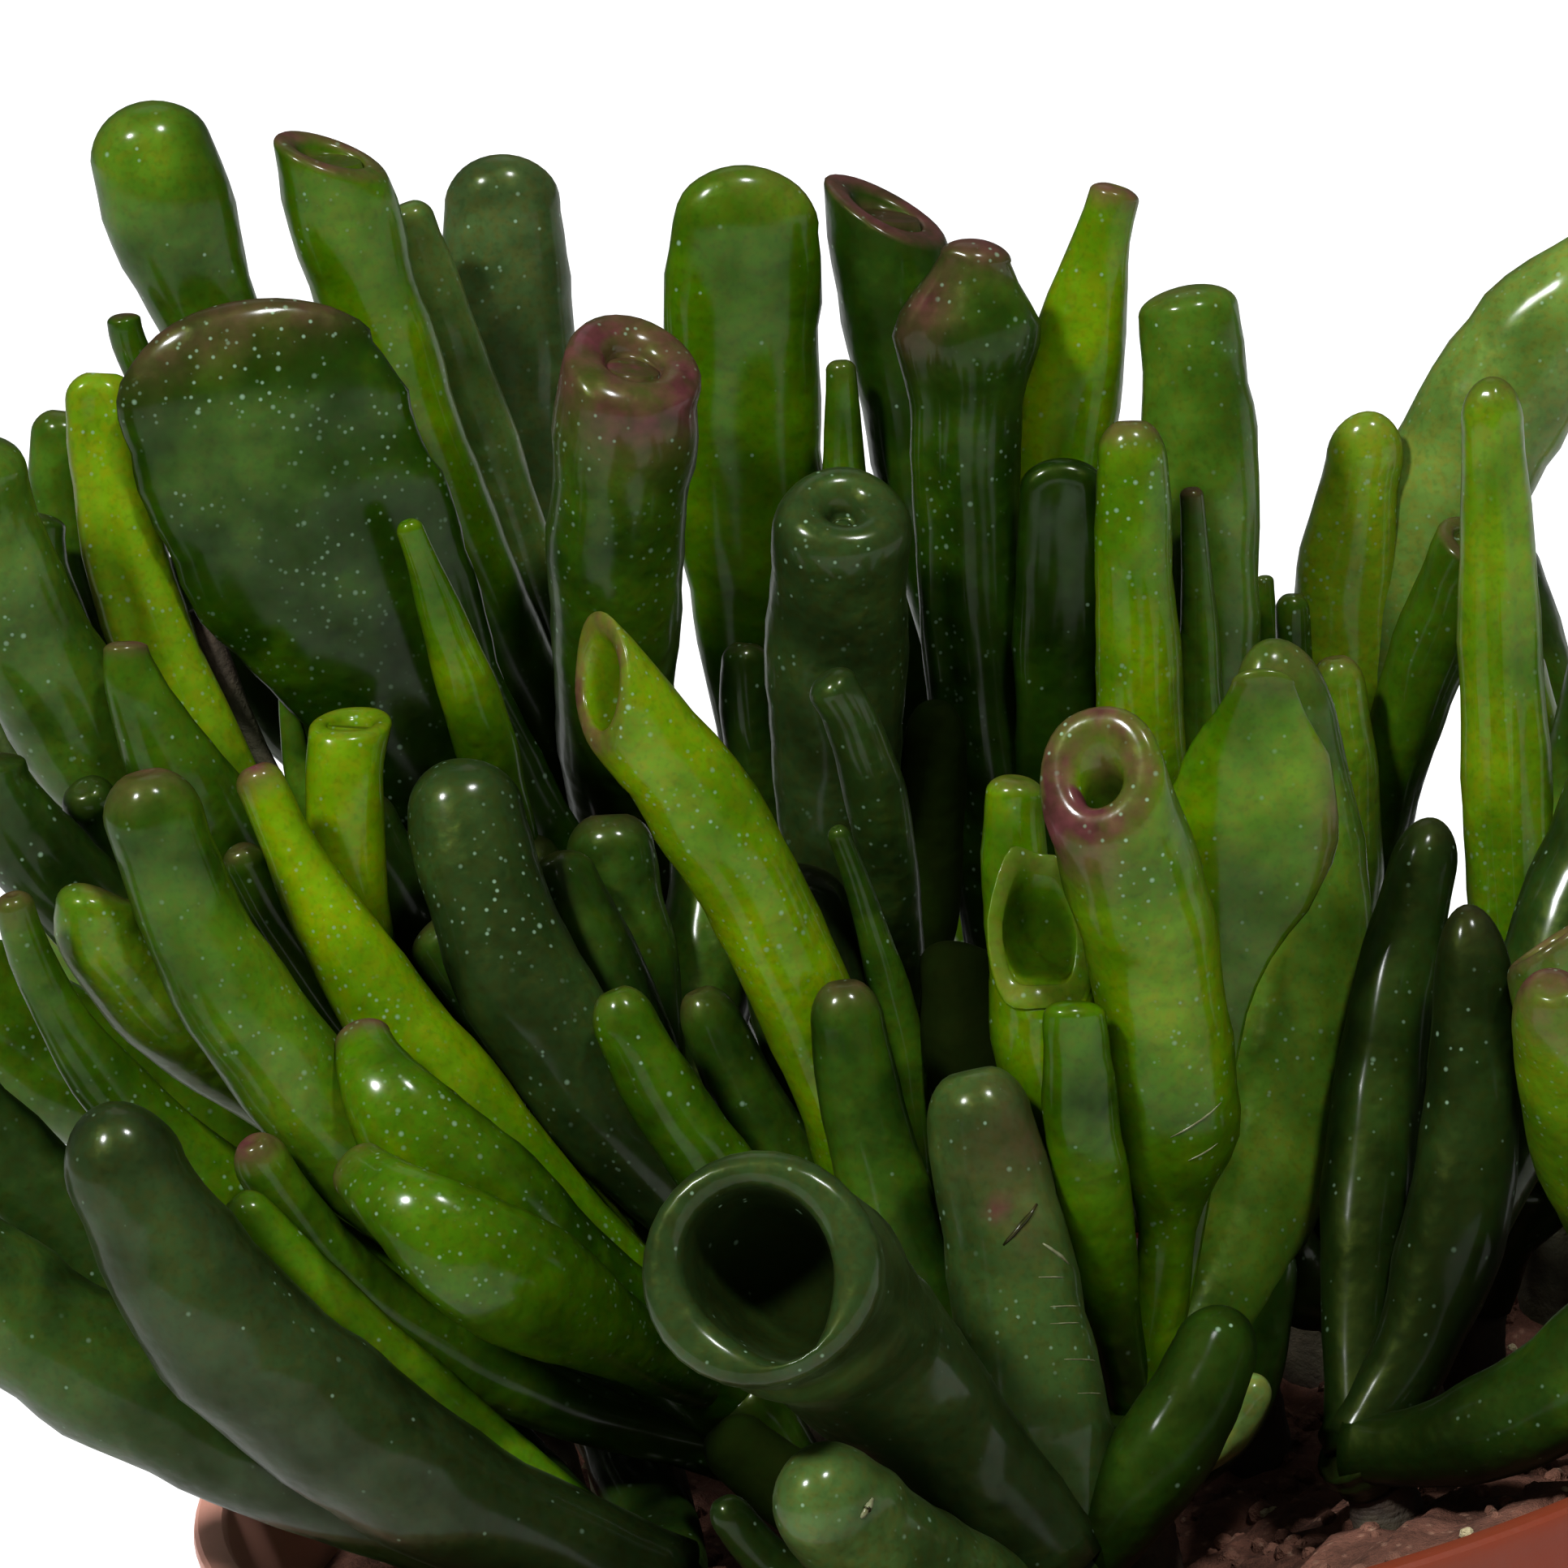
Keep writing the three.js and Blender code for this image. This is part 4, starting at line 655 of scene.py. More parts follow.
def open_end(end, wide, length):
    """The round rim and the hollow: rings of (place, share, lean, near the end, how deep inside)."""
    rings = []
    lip = end["lip"]
    for k in range(1, RIM_RINGS + 1):
        turn = math.pi * k / RIM_RINGS
        back = lip / 2 * (1 - math.sin(turn))
        rings.append((1 - back * wide / length, 1 - lip + lip * math.cos(turn), 1.0, 1.0, 0.0))
    for k in range(1, BOWL_RINGS + 1):
        turn = math.pi / 2 * k / (BOWL_RINGS + 0.5)
        back = lip / 2 + (end["bowl"] - lip / 2) * math.sin(turn)
        inside = back / end["bowl"]
        share = (1 - 2 * lip) * math.cos(turn) ** HOLLOW_CURVE
        rings.append((1 - back * wide / length, share, 1 - HOLLOW_LEAN * inside, 1.0, inside))
    return rings, (1 - end["bowl"] * wide / length, 0.0, 1 - HOLLOW_LEAN, 1.0, 1.0)


def closed_end(leaf, bulge):
    """The dome of a closed end, with a shallow dent at its middle where it has one."""
    full = float(width_at(leaf, 1 - bulge))
    dent = leaf["end"]["dimple"] * bulge * DENT_DEPTH
    rings = []
    for k in range(1, CAP_RINGS + 1):
        turn = math.pi / 2 * k / (CAP_RINGS + 0.6)
        back = bulge * (1 - math.sin(turn)) + dent * float(smooth((DENT_FROM - math.cos(turn)) / DENT_RAMP))
        rings.append((1 - back, full * math.cos(turn), 0.0, 1.0, 0.0))
    return rings, (1 - dent, 0.0, 0.0, 1.0, 0.0)


def rings_of(leaf):
    """Each ring: place along the leaf, width share, lean, how near the end it is, how deep inside it is."""
    end, wide, thick = leaf["end"], leaf["wide"], leaf["thick"]
    length = length_of(leaf)
    if "bowl" in end:
        last = 1 - end["lip"] / 2 * wide / length
        rings = []
        for t in np.linspace(0, last, BODY_RINGS):
            lean = max(0.0, (t - LEAN_FROM) / (last - LEAN_FROM)) ** LEAN_CURVE
            rings.append((t, float(width_at(leaf, t)), lean, 0.0, 0.0))
        closing, tip = open_end(end, wide, length)
        return rings + closing, tip
    bulge = end["cap"] * (wide if end.get("flat") else thick) * end["nose"] / 2 / length
    rings = [(t, float(width_at(leaf, t)), 0.0, 0.0, 0.0) for t in np.linspace(0, 1 - bulge, BODY_RINGS)]
    closing, tip = closed_end(leaf, bulge)
    return rings + closing, tip


def skin_faces(ring_count, sides, first, last):
    faces = []
    for r in range(ring_count - 1):
        for s in range(sides):
            a, b = r * sides + s, r * sides + (s + 1) % sides
            faces.append((a, b, b + sides, a + sides))
    top = (ring_count - 1) * sides
    for s in range(sides):
        faces.append((first, (s + 1) % sides, s))
        faces.append((last, top + s, top + (s + 1) % sides))
    return faces


def frames_at(leaf, places):
    """The leaf's stations at places in any order."""
    order = np.argsort(places, kind="stable")
    frames = []
    for values in stations(leaf, places[order]):
        frames.append(np.empty((len(places), 3)))
        frames[-1][order] = values
    return frames


def lumps_at(arc, angles, waves, phases):
    once = phases[0] + np.cos(angles + phases[1])
    turns = (once, phases[2] + 2 * angles, phases[3] + phases[4] + 3 * angles)
    return sum(high * np.sin(arc * pace * wave + turn)
               for (high, pace), wave, turn in zip(LUMPS, waves, turns))


def faint_groove(draw):
    return [(FAINT_GROOVE["turn"], draw.uniform(0.0, FAINT_GROOVE["deepest"]), FAINT_GROOVE["breadth"])]


def leaf_skin(leaf, draw):
    """Points, faces and finish of one leaf, then those of its marks.

    The finish is [along, bright, red, grey] and [speckle, painted shade, chance, scar] for each point.
    """
    rings, last = rings_of(leaf)
    length = length_of(leaf)
    bright, grey, red, speckle = leaf["finish"]
    chance = draw.random()
    phases = [draw.random() * CIRCLE for _ in range(6)]
    waves = [draw.uniform(*LUMP_PACE) for _ in range(3)]
    grooves = leaf["grooves"] or faint_groove(draw)
    centres, alongs, acrosses, fronts = frames_at(leaf, np.array([ring[0] for ring in rings] + [last[0]]))
    angles = 2 * math.pi * (np.arange(LEAF_SIDES) + 0.5) / LEAF_SIDES
    turns = np.degrees(angles)
    points, paint, extra = [], [], []
    hollow = leaf["end"].get("bowl", 0)
    # Leaves with no brightness, and dull ones in part, get painted shade: darker colour and less shine.
    shaded = 1.0 if bright == 0 else leaf["dull_and_shaded"]
    red_band = RED_BAND[1 if hollow else 0] * leaf["wide"] / length
    for k, (t, share, lean, ending, inside) in enumerate(rings):
        fade = 1.0 if not ending else max(LEAST_LUMPS, share)
        lump = lumps_at(t * length, angles, waves, phases)
        size = share * (1 + lump * fade + EGG_SHAPE * np.cos(3 * angles + phases[5]))
        dent = sum(deep * np.exp(-((turns - turn) / broad) ** 2) for turn, deep, broad in grooves)
        dent = dent * smooth(t / GROOVE_FADE["foot"]) * smooth((GROOVE_FADE["end"] - t) / GROOVE_FADE["tip"])
        spokes = np.outer(np.cos(angles) * leaf["wide"] * size / 2, acrosses[k])
        spokes += np.outer(np.sin(angles) * leaf["thick"] * size * (1 - dent) / 2, fronts[k])
        if leaf["drop"] and ending:
            spokes *= drop_mouth(spokes, share, leaf["end"]["lip"])[:, None]
        ring = centres[k] + spokes
        if lean and hollow:
            steep, pinch = leaf["end"]["steep"], leaf["end"]["pinch"]
            moved = lean * slant_shares(spokes, alongs[k], leaf)
            reach = moved * steep * np.linalg.norm(spokes, axis=1)
            drawn_in = (1 - pinch * np.maximum(0, moved))[:, None]
            ring = centres[k] + spokes * drawn_in + np.outer(reach, alongs[k])
        points.append(ring)
        close = float(smooth((t - (1 - red_band)) / red_band))
        if inside:
            close = 1 - RED_IN_HOLLOW[0 if hollow < SHALLOW else 1] * float(smooth(inside * RED_FADE))
        paint.append(np.tile([max(t, leaf["lit_from"]), bright, red * close, grey], (LEAF_SIDES, 1)))
        for at, turn, spread, round_about, amount in leaf["blushes"]:
            away = ((t - at) / spread) ** 2 + ((turns - turn) / round_about) ** 2
            paint[-1][:, 2] = np.maximum(paint[-1][:, 2], amount * np.exp(-away))
        shade = min(1, inside * HOLLOW_SHADE[1 if hollow > SHALLOW else 0])
        extra.append(np.tile([speckle, max(shaded, shade), chance, 0], (LEAF_SIDES, 1)))
    body_places = [ring[0] for ring in rings[:BODY_RINGS]]
    marks = [mark_skin(mark, body_places, points, leaf) for mark in leaf["marks"]]
    points = np.concatenate(points + [[centres[0]], [centres[-1]]])
    paint = np.concatenate(paint + [[[leaf["lit_from"], bright, 0, grey]], paint[-1][:1]])
    extra = np.concatenate(extra + [[[speckle, shaded, chance, 0]], extra[-1][:1]])
    total = len(rings) * LEAF_SIDES
    return [(points, skin_faces(len(rings), LEAF_SIDES, total, total + 1), paint, extra)] + marks


# The drop-shaped hole: the way each part of the lip faces, how much it widens the hole, and how narrow it is.
DROP_PARTS = (([0.5, -1, 0], 0.26, 8), ([1, 0.2, 0], -0.14, 2), ([-0.7, -0.7, 0], -0.16, 3))


def drop_mouth(spokes, share, lip):
    """Draws the hole of an open end out to a point below, and thickens the lip on either side of it."""
    ways = spokes / np.linalg.norm(spokes, axis=1, keepdims=True)
    inner = float(np.clip((1 - lip - share) / lip, 0, 1))
    parts = [more * np.maximum(0, ways @ facing(way)) ** sharp for way, more, sharp in DROP_PARTS]
    return 1 + inner * sum(parts)


def mark_skin(mark, places, rings, leaf):
    """A thin welt half sunk in the skin, from one spot on the leaf to another."""
    kind, from_t, from_turn, to_t, to_turn, half = mark
    centres = []
    for k in range(MARK_STEPS):
        t = from_t + (to_t - from_t) * k / (MARK_STEPS - 1)
        turn = from_turn + (to_turn - from_turn) * k / (MARK_STEPS - 1)
        ring = np.interp(t, places, np.arange(len(places)))
        side = turn / 360 * LEAF_SIDES - 0.5
        r, s = int(ring), math.floor(side)
        ends = [rings[r + i][(s + j) % LEAF_SIDES] for i in (0, 1) for j in (0, 1)]
        upper, lower = ring - r, side - s
        near = ends[0] * (1 - lower) + ends[1] * lower
        far = ends[2] * (1 - lower) + ends[3] * lower
        centres.append(near * (1 - upper) + far * upper)
    radii = [half * (0.25 + 0.75 * math.sin(math.pi * (k + 0.5) / MARK_STEPS)) for k in range(MARK_STEPS)]
    points, faces = rod_skin(centres, radii, MARK_SIDES, lambda k, a: 0.15 * np.sin(2 * a + 1.7 * k))
    bright, grey = leaf["finish"][:2]
    paint = [from_t, 0, 0.2, 0] if kind == "crack" else [from_t, bright, 0, grey]
    extra = [0, 0, 0, 1 if kind == "scar" else 0]
    return points, faces, np.tile(paint, (len(points), 1)), np.tile(extra, (len(points), 1))


def rod_skin(centres, radii, sides, rough=None):
    points = []
    for k, centre in enumerate(centres):
        along = unit(centres[min(k + 1, len(centres) - 1)] - centres[max(k - 1, 0)])
        across = unit(np.cross([0.0, 1.0, 0.0], along))
        front = np.cross(along, across)
        angles = 2 * math.pi * np.arange(sides) / sides
        radius = radii[k] * (1 + (rough(k, angles) if rough else 0))
        sideways, forwards = np.cos(angles) * radius, np.sin(angles) * radius
        points.append(centre + np.outer(sideways, across) + np.outer(forwards, front))
    points = np.concatenate(points + [[centres[0]], [centres[-1]]])
    total = len(centres) * sides
    return points, skin_faces(len(centres), sides, total, total + 1)


class Body:
    """Gathers skins into one mesh with its finish attributes."""

    def __init__(self):
        self.points, self.faces, self.paint, self.extra, self.count = [], [], [], [], 0

    def add(self, points, faces, paint=None, extra=None):
        self.faces += [tuple(i + self.count for i in face) for face in faces]
        self.points.append(np.asarray(points))
        self.paint.append(np.zeros((len(points), 4)) if paint is None else paint)
        self.extra.append(np.zeros((len(points), 4)) if extra is None else extra)
        self.count += len(points)

    def make(self, name, material, inside_box=True):
        points = np.concatenate(self.points) * MM
        if inside_box:
            points = np.clip(points, np.array(cad_low), np.array(cad_high))
        mesh = bpy.data.meshes.new(name)
        mesh.from_pydata(points.tolist(), [], self.faces)
        mesh.update()
        for label, rows in (("finish", self.paint), ("detail", self.extra)):
            layer = mesh.color_attributes.new(name=label, type="FLOAT_COLOR", domain="POINT")
            layer.data.foreach_set("color", np.concatenate(rows).astype(np.float32).ravel())
        mesh.polygons.foreach_set("use_smooth", [True] * len(mesh.polygons))
        mesh.materials.append(material)
        return add_object(name, mesh)


def add_object(name, data):
    result = bpy.data.objects.new(name, data)
    bpy.context.scene.collection.objects.link(result)
    return result


def settle(piece, slot, *nodes):
    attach(piece, "root")
    if nodes:
        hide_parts(*nodes)
    return piece


# ---------------------------------------------------------------- materials


def add_node(tree, kind, inputs=None, **settings):
    """Adds a node, links or sets its inputs, and returns its outputs."""
    node = tree.nodes.new(kind)
    for label, value in settings.items():
        setattr(node, label, value)
    for label, value in (inputs or {}).items():
        feed(tree, value, node.inputs[label])
    return node.outputs


def feed(tree, value, socket):
    if isinstance(value, bpy.types.NodeSocket):
        tree.links.new(value, socket)
    else:
        socket.default_value = (*value, 1.0) if socket.type == "RGBA" else value


EDGE_BLEND = 0.35


class Paint:
    """A material on one shader, with short names for the nodes that the materials share."""

    def __init__(self, name):
        self.material = bpy.data.materials.new(name)
        self.material.use_nodes = True
        self.tree = self.material.node_tree
        self.tree.nodes.clear()
        self.shader = self.tree.nodes.new("ShaderNodeBsdfPrincipled")
        self.add("ShaderNodeOutputMaterial", {"Surface": self.shader.outputs["BSDF"]})
        self.place = self.add("ShaderNodeTexCoord")["Object"]

    def add(self, kind, inputs=None, **settings):
        return add_node(self.tree, kind, inputs, **settings)

    def set(self, label, value):
        feed(self.tree, value, self.shader.inputs[label])

    def attribute(self, name):
        whole = self.add("ShaderNodeAttribute", attribute_name=name)
        split = self.add("ShaderNodeSeparateColor", {"Color": whole["Color"]})
        return split["Red"], split["Green"], split["Blue"], whole["Alpha"]

    def noise(self, scale, detail=3.0, roughness=0.55, vector=None):
        inputs = {"Scale": scale, "Detail": detail, "Roughness": roughness, "Vector": vector or self.place}
        return self.add("ShaderNodeTexNoise", inputs)["Fac"]

    def cells(self, scale):
        return self.add("ShaderNodeTexVoronoi", {"Scale": scale, "Vector": self.place})

    def axis(self, letter):
        return self.add("ShaderNodeSeparateXYZ", {"Vector": self.place})[letter]

    def facing(self):
        return self.add("ShaderNodeLayerWeight", {"Blend": EDGE_BLEND})["Facing"]

    def math(self, operation, a, b, clamp=False):
        return self.add("ShaderNodeMath", {0: a, 1: b}, operation=operation, use_clamp=clamp)[0]

    def plus(self, a, b, clamp=False):
        return self.math("ADD", a, b, clamp)

    def times(self, a, b, clamp=False):
        return self.math("MULTIPLY", a, b, clamp)

    def span(self, value, low, high, to_low=0.0, to_high=1.0):
        inputs = {"Value": value, "From Min": low, "From Max": high, "To Min": to_low, "To Max": to_high}
        return self.add("ShaderNodeMapRange", inputs)["Result"]

    def mix(self, share, a, b, blend="MIX"):
        return self.add("ShaderNodeMix", {"Factor": share, 6: a, 7: b}, data_type="RGBA", blend_type=blend)[2]

    def tinted(self, colour, tint):
        return self.mix(1.0, colour, tint, "MULTIPLY")

    def ramp(self, value, stops):
        node = self.tree.nodes.new("ShaderNodeValToRGB")
        band = node.color_ramp
        while len(band.elements) < len(stops):
            band.elements.new(0.5)
        for element, (place, colour) in zip(band.elements, stops):
            element.position = place
            element.color = (*colour, 1.0)
        feed(self.tree, value, node.inputs["Fac"])
        return node.outputs["Color"]

    def bump(self, height, strength, distance, under=None):
        inputs = {"Height": height, "Strength": strength, "Distance": distance}
        return self.add("ShaderNodeBump", inputs if under is None else dict(inputs, Normal=under))["Normal"]


# Leaf colours, from dark to bright, without and with bloom.
LEAF_GREENS = [(0.0, (0.0015, 0.0068, 0)), (0.3, (0.007, 0.027, 0)),
               (0.62, (0.034, 0.094, 0)), (1.0, (0.105, 0.2, 0))]
LEAF_BLOOM = [(0.0, (0.006, 0.012, 0.003)), (0.5, (0.023, 0.043, 0.013)), (1.0, (0.1, 0.16, 0.05))]
BLOOM_EDGE_SHEEN = (0.1, 0.15, 0.07)
TIP_REDS = [(0.3, (0.035, 0.011, 0.009)), (0.7, (0.085, 0.02, 0.026))]
SCAR_TANS = [(0.35, (0.08, 0.075, 0.035)), (0.65, (0.14, 0.15, 0.08))]
SPECK = (0.2, 0.31, 0.2)
# What a leaf's colour is multiplied by: in its olive grain and its dark pores, and as painted shade at its
# edge, where its round sides turn away, and in its hollow.
OLIVE_GRAIN = (1.35, 0.86, 0.7)
DARK_PORES = (0.4, 0.5, 0.4)
EDGE_SHADE = (0.5, 0.42, 0.35)
INSIDE_SHADE = (0.2, 0.24, 0.18)
GLOSS = 0.27


def leaf_material():
    n = Paint("leaf_skin")
    along, bright, red, grey = n.attribute("finish")
    # inside carries the painted shade: deep in a hollow, on leaves in deep shade and on dull leaves.
    speckle, inside, chance, scar = n.attribute("detail")
    broad, blotch, fine = n.noise(95.0, 2.0), n.noise(260.0, 3.0), n.noise(1500.0, 2.0, 0.6)
    edge = n.facing()

    tone = n.plus(bright, n.span(broad, 0.3, 0.7, -0.16, 0.16))
    tone = n.plus(tone, n.span(blotch, 0.3, 0.7, -0.1, 0.1))
    tone = n.plus(tone, n.span(chance, 0.0, 1.0, -0.06, 0.06))
    # Painted shade: each leaf is darker towards its foot, deep in the plant.
    tone = n.plus(tone, n.span(along, 0.05, 0.5, -0.34, 0.0), clamp=True)
    colour = n.mix(n.times(grey, 0.9), n.ramp(tone, LEAF_GREENS), n.ramp(tone, LEAF_BLOOM))
    colour = n.mix(n.span(fine, 0.42, 0.62, 0.0, 0.75), colour, n.tinted(colour, OLIVE_GRAIN))
    colour = n.mix(n.span(n.noise(2600.0, 1.0), 0.5, 0.75, 0.0, 0.35), colour, n.tinted(colour, DARK_PORES))
    # Painted shade: darker towards the leaf's outline, where its round sides turn away.
    colour = n.mix(n.span(edge, 0.3, 0.85, 0.0, 0.8), colour, n.tinted(colour, EDGE_SHADE))
    # Pale at the grazing edges: partly the leaves' own waxy bloom, partly a painted sheen along their edges.
    bloom_and_edge_sheen = n.times(n.span(edge, 0.55, 1.0, 0.0, 0.3), n.span(blotch, 0.35, 0.6))
    colour = n.mix(n.times(bloom_and_edge_sheen, grey), colour, BLOOM_EDGE_SHEEN)
    blush = n.times(red, n.span(blotch, 0.3, 0.62, 0.35, 1.1), clamp=True)
    colour = n.mix(blush, colour, n.ramp(n.noise(700.0), TIP_REDS))
    # Painted shade in hollows, and on leaves that stand in deep shade or are dull.
    colour = n.mix(n.times(inside, 0.85), colour, n.tinted(colour, INSIDE_SHADE))
    dots = n.math("MAXIMUM", frost(n, 750.0, 0.06, speckle, 0.8), frost(n, 1400.0, 0.08, speckle, 1.0))
    dots = n.times(n.times(dots, n.span(along, 0.35, 0.95, 0.35, 1.0)), 0.8)
    colour = n.mix(dots, colour, SPECK)
    n.set("Base Color", n.mix(scar, colour, n.ramp(fine, SCAR_TANS)))

    n.set("Roughness", n.plus(n.span(blotch, 0.3, 0.7, 0.34, 0.48), n.times(inside, 0.4)))
    soft = n.bump(n.noise(300.0, 2.0), 0.3, 0.0009)
    pitted = n.bump(n.noise(800.0, 1.0), 0.28, 0.0003, soft)
    n.set("Normal", n.bump(fine, 0.22, 0.0001, pitted))
    coat = n.times(n.span(inside, 0.0, 0.5, GLOSS, 0.0), n.span(blotch, 0.3, 0.6, 0.55, 1.2))
    n.set("Coat Weight", n.times(coat, n.span(edge, 0.4, 0.8, 1.0, 0.0)))
    n.set("Coat Roughness", 0.15)
    n.set("Specular IOR Level", 0.09)
    n.set("Specular Tint", (0.75, 1.0, 0.15))
    return n.material


def frost(n, scale, size, speckle, share):
    """Small pale dots in clouds, more of them the more speckled the leaf is."""
    spots = n.cells(scale)
    chance = n.add("ShaderNodeSeparateColor", {"Color": spots["Color"]})["Red"]
    wanted = n.math("LESS_THAN", chance, n.times(speckle, share))
    dot = n.times(n.span(spots["Distance"], size, size * 2.6, 1.0, 0.0), wanted)
    return n.times(dot, n.span(n.noise(150.0), 0.42, 0.6))


BARK_BROWNS = [(0.3, (0.014, 0.008, 0.004)), (0.55, (0.038, 0.022, 0.012)), (0.8, (0.08, 0.052, 0.03))]
BARK_GREEN = (0.1, 0.11, 0.05)


def bark_material():
    n = Paint("stem_bark")
    grain = n.noise(500.0, 5.0, 0.65)
    patch = n.noise(120.0, 2.0)
    n.set("Base Color", n.mix(n.span(patch, 0.45, 0.7, 0.0, 0.5), n.ramp(grain, BARK_BROWNS), BARK_GREEN))
    n.set("Roughness", n.span(grain, 0.2, 0.8, 0.7, 0.95))
    n.set("Normal", n.bump(grain, 0.7, 0.0006))
    return n.material


def soil_material(name, dark, light, bits):
    n = Paint(name)
    colour = n.ramp(n.noise(240.0, 5.0, 0.7), [(0.3, dark), (0.7, light)])
    grit = n.cells(900.0)["Distance"]
    n.set("Base Color", n.mix(n.span(grit, 0.0, 0.25, 0.6, 0.0), colour, bits))
    n.set("Roughness", 0.95)
    n.set("Specular IOR Level", 0.2)
    n.set("Normal", n.bump(n.noise(900.0, 5.0, 0.75), 0.9, 0.0008))
    return n.material


POT_REDS = [(0.35, (0.12, 0.016, 0.004)), (0.7, (0.16, 0.023, 0.006))]
POT_SCUFF = (0.2, 0.05, 0.02)
POT_RIM_DULL = (0.09, 0.035, 0.02)
POT_PAINTED_LIGHT = (0.7, 0.33, 0.25)
# In metres: where the duller colour starts under the rim, and how far from its left the pot is painted
# paler, as painted light on its shaded left side.
RIM_DULL_FROM, RIM_DULL_TO = 0.070, 0.0905
PAINTED_LIGHT_TO, PAINTED_LIGHT_FROM = -0.05, -0.005


def pot_material():
    n = Paint("pot_plastic")
    stretch = n.add("ShaderNodeMapping", {"Vector": n.place, "Scale": (1.0, 1.0, 0.08)})["Vector"]
    scuff = n.noise(700.0, 4.0, 0.7, stretch)
    colour = n.mix(n.span(scuff, 0.62, 0.8, 0.0, 0.35), n.ramp(n.noise(30.0, 3.0), POT_REDS), POT_SCUFF)
    # Duller, browner patches towards the rim.
    rim_dull = n.times(n.noise(180.0, 4.0, 0.7), n.span(n.axis("Z"), RIM_DULL_FROM, RIM_DULL_TO))
    colour = n.mix(n.span(rim_dull, 0.35, 0.75, 0.0, 0.25), colour, POT_RIM_DULL)
    # Painted light: the pot's shaded left side is painted paler.
    n.set("Base Color", n.mix(n.span(n.axis("X"), PAINTED_LIGHT_TO, PAINTED_LIGHT_FROM, 0.95, 0.0), colour, POT_PAINTED_LIGHT))
    n.set("Roughness", n.span(scuff, 0.3, 0.8, 0.48, 0.66))
    n.set("Specular IOR Level", 0.22)
    n.set("Normal", n.bump(n.noise(1200.0, 3.0, 0.6), 0.25, 0.00015))
    return n.material


leaf_skin_material = leaf_material()
bark = bark_material()
soil_dark = soil_material("soil_dark", (0.035, 0.014, 0.008), (0.17, 0.07, 0.045), (0.32, 0.18, 0.12))
soil_crumb = soil_material("soil_crumb", (0.05, 0.02, 0.012), (0.22, 0.1, 0.066), (0.38, 0.25, 0.17))
soil_pale = soil_material("soil_pale", (0.3, 0.24, 0.12), (0.52, 0.45, 0.28), (0.6, 0.55, 0.4))
terracotta = pot_material()

# ---------------------------------------------------------------- leafy shoots and stems

STEM_SIDES = 18
BARK_STEPS = 13
BARK_FROM, BARK_STEP = 0.02, 0.03
BARK_RINGS = (-0.018, -0.04)
GREEN_STEPS = 10
STUB = [1.015, 1.03, 1.04]
STUB_SHARES = (0.85, 0.6)
STEM_SHADE = 0.7
TWIG_STEPS = 22
TWIG_TAPER = (1.25, 0.75)
TWIG_KNOBS = (-0.12, 0.2)


def twig_skin(shoot, mine, draw):
    centres = [shoot["foot"] - UP * STEM_DEPTH, shoot["foot"], shoot["crown"]]
    for leaf in mine:
        centres += list(stations(leaf, np.linspace(0.04, 1, TWIG_STEPS))[0])
    radii = TWIG_RADII + list(np.linspace(*TWIG_TAPER, TWIG_STEPS))
    knobs = [draw.uniform(*TWIG_KNOBS) for _ in centres]
    return rod_skin(centres, radii, STEM_SIDES, lambda k, a: knobs[k] + 0.08 * np.sin(3 * a + k))


def bark_skin(shoot):
    """The woody foot of a stem, with faint rings."""
    steps = [BARK_FROM + BARK_STEP * k for k in range(BARK_STEPS)] + [WOODY]
    centres = [shoot["foot"] - UP * STEM_DEPTH, shoot["foot"]] + [stem_at(shoot, t) for t in steps]
    radii = STEM_RADII[:2] + list(np.interp(steps, [0, 0.2, WOODY], STEM_RADII[1:]))
    rings = [BARK_RINGS[0 if k % 3 == 0 else 1] for k in range(len(centres))]
    return rod_skin(centres, radii, STEM_SIDES, lambda k, a: rings[k] + 0.02 * np.sin(4 * a + k * 0.2))


def green_stem_skin(shoot, mine):
    """The green upper stem, with the bloom of its leaves and painted shade: darker than their mean
    brightness, and shaded like a leaf's foot.
    """
    start = WOODY + 1.4 * STEM_JOINT / np.linalg.norm(shoot["foot"] - shoot["crown"])
    steps = np.concatenate([np.linspace(start, 1, GREEN_STEPS), STUB])
    radii = np.interp(steps, [start, (start + 1) / 2, 1, STUB[-1]], SHOOT_RADII)
    radii[-2:] *= STUB_SHARES
    centres = [stem_at(shoot, t) for t in steps]
    points, faces = rod_skin(centres, radii, STEM_SIDES, lambda k, a: 0.03 * np.sin(2 * a + k * 1.3))
    bright, grey = np.array([leaf["finish"] for leaf in mine]).mean(axis=0)[:2]
    # Painted shade: less than the leaves' mean brightness, and the darkening of a leaf's foot.
    paint = np.tile([0.1, bright * STEM_SHADE, 0.05, grey], (len(points), 1))
    return points, faces, paint, np.tile([0, 0, 0.5, 0], (len(points), 1))


for shoot in shoots:
    draw = random.Random(100 + shoot["index"])
    name = shoot["name"]
    mine = [leaf for leaf in leaves if leaf["shoot"] == shoot["index"]]
    woody = Body()
    if shoot["bare"]:
        woody.add(*twig_skin(shoot, mine, draw))
        settle(woody.make("twig_" + name, bark), "stem_bark", name)
        continue
    woody.add(*bark_skin(shoot))
    settle(woody.make("bark_" + name, bark), "stem_bark", "stem_" + name)
    green = Body()
    green.add(*green_stem_skin(shoot, mine))
    for leaf in mine:
        for skin in leaf_skin(leaf, draw):
            green.add(*skin)
    settle(green.make("leaves_" + name, leaf_skin_material), "leaf_green", "shoot_" + name)

# ---------------------------------------------------------------- the pot

POT_SIDES = 128
HOLE_SIDES = 32
SHARP_ANGLE = 32
POT_NECK = POT["rim"] - POT["lip_step"] - 1.2
POT_SHOULDER = RIM - POT["lip"]
POT_FLOOR = POT["foot"] + POT["floor"]


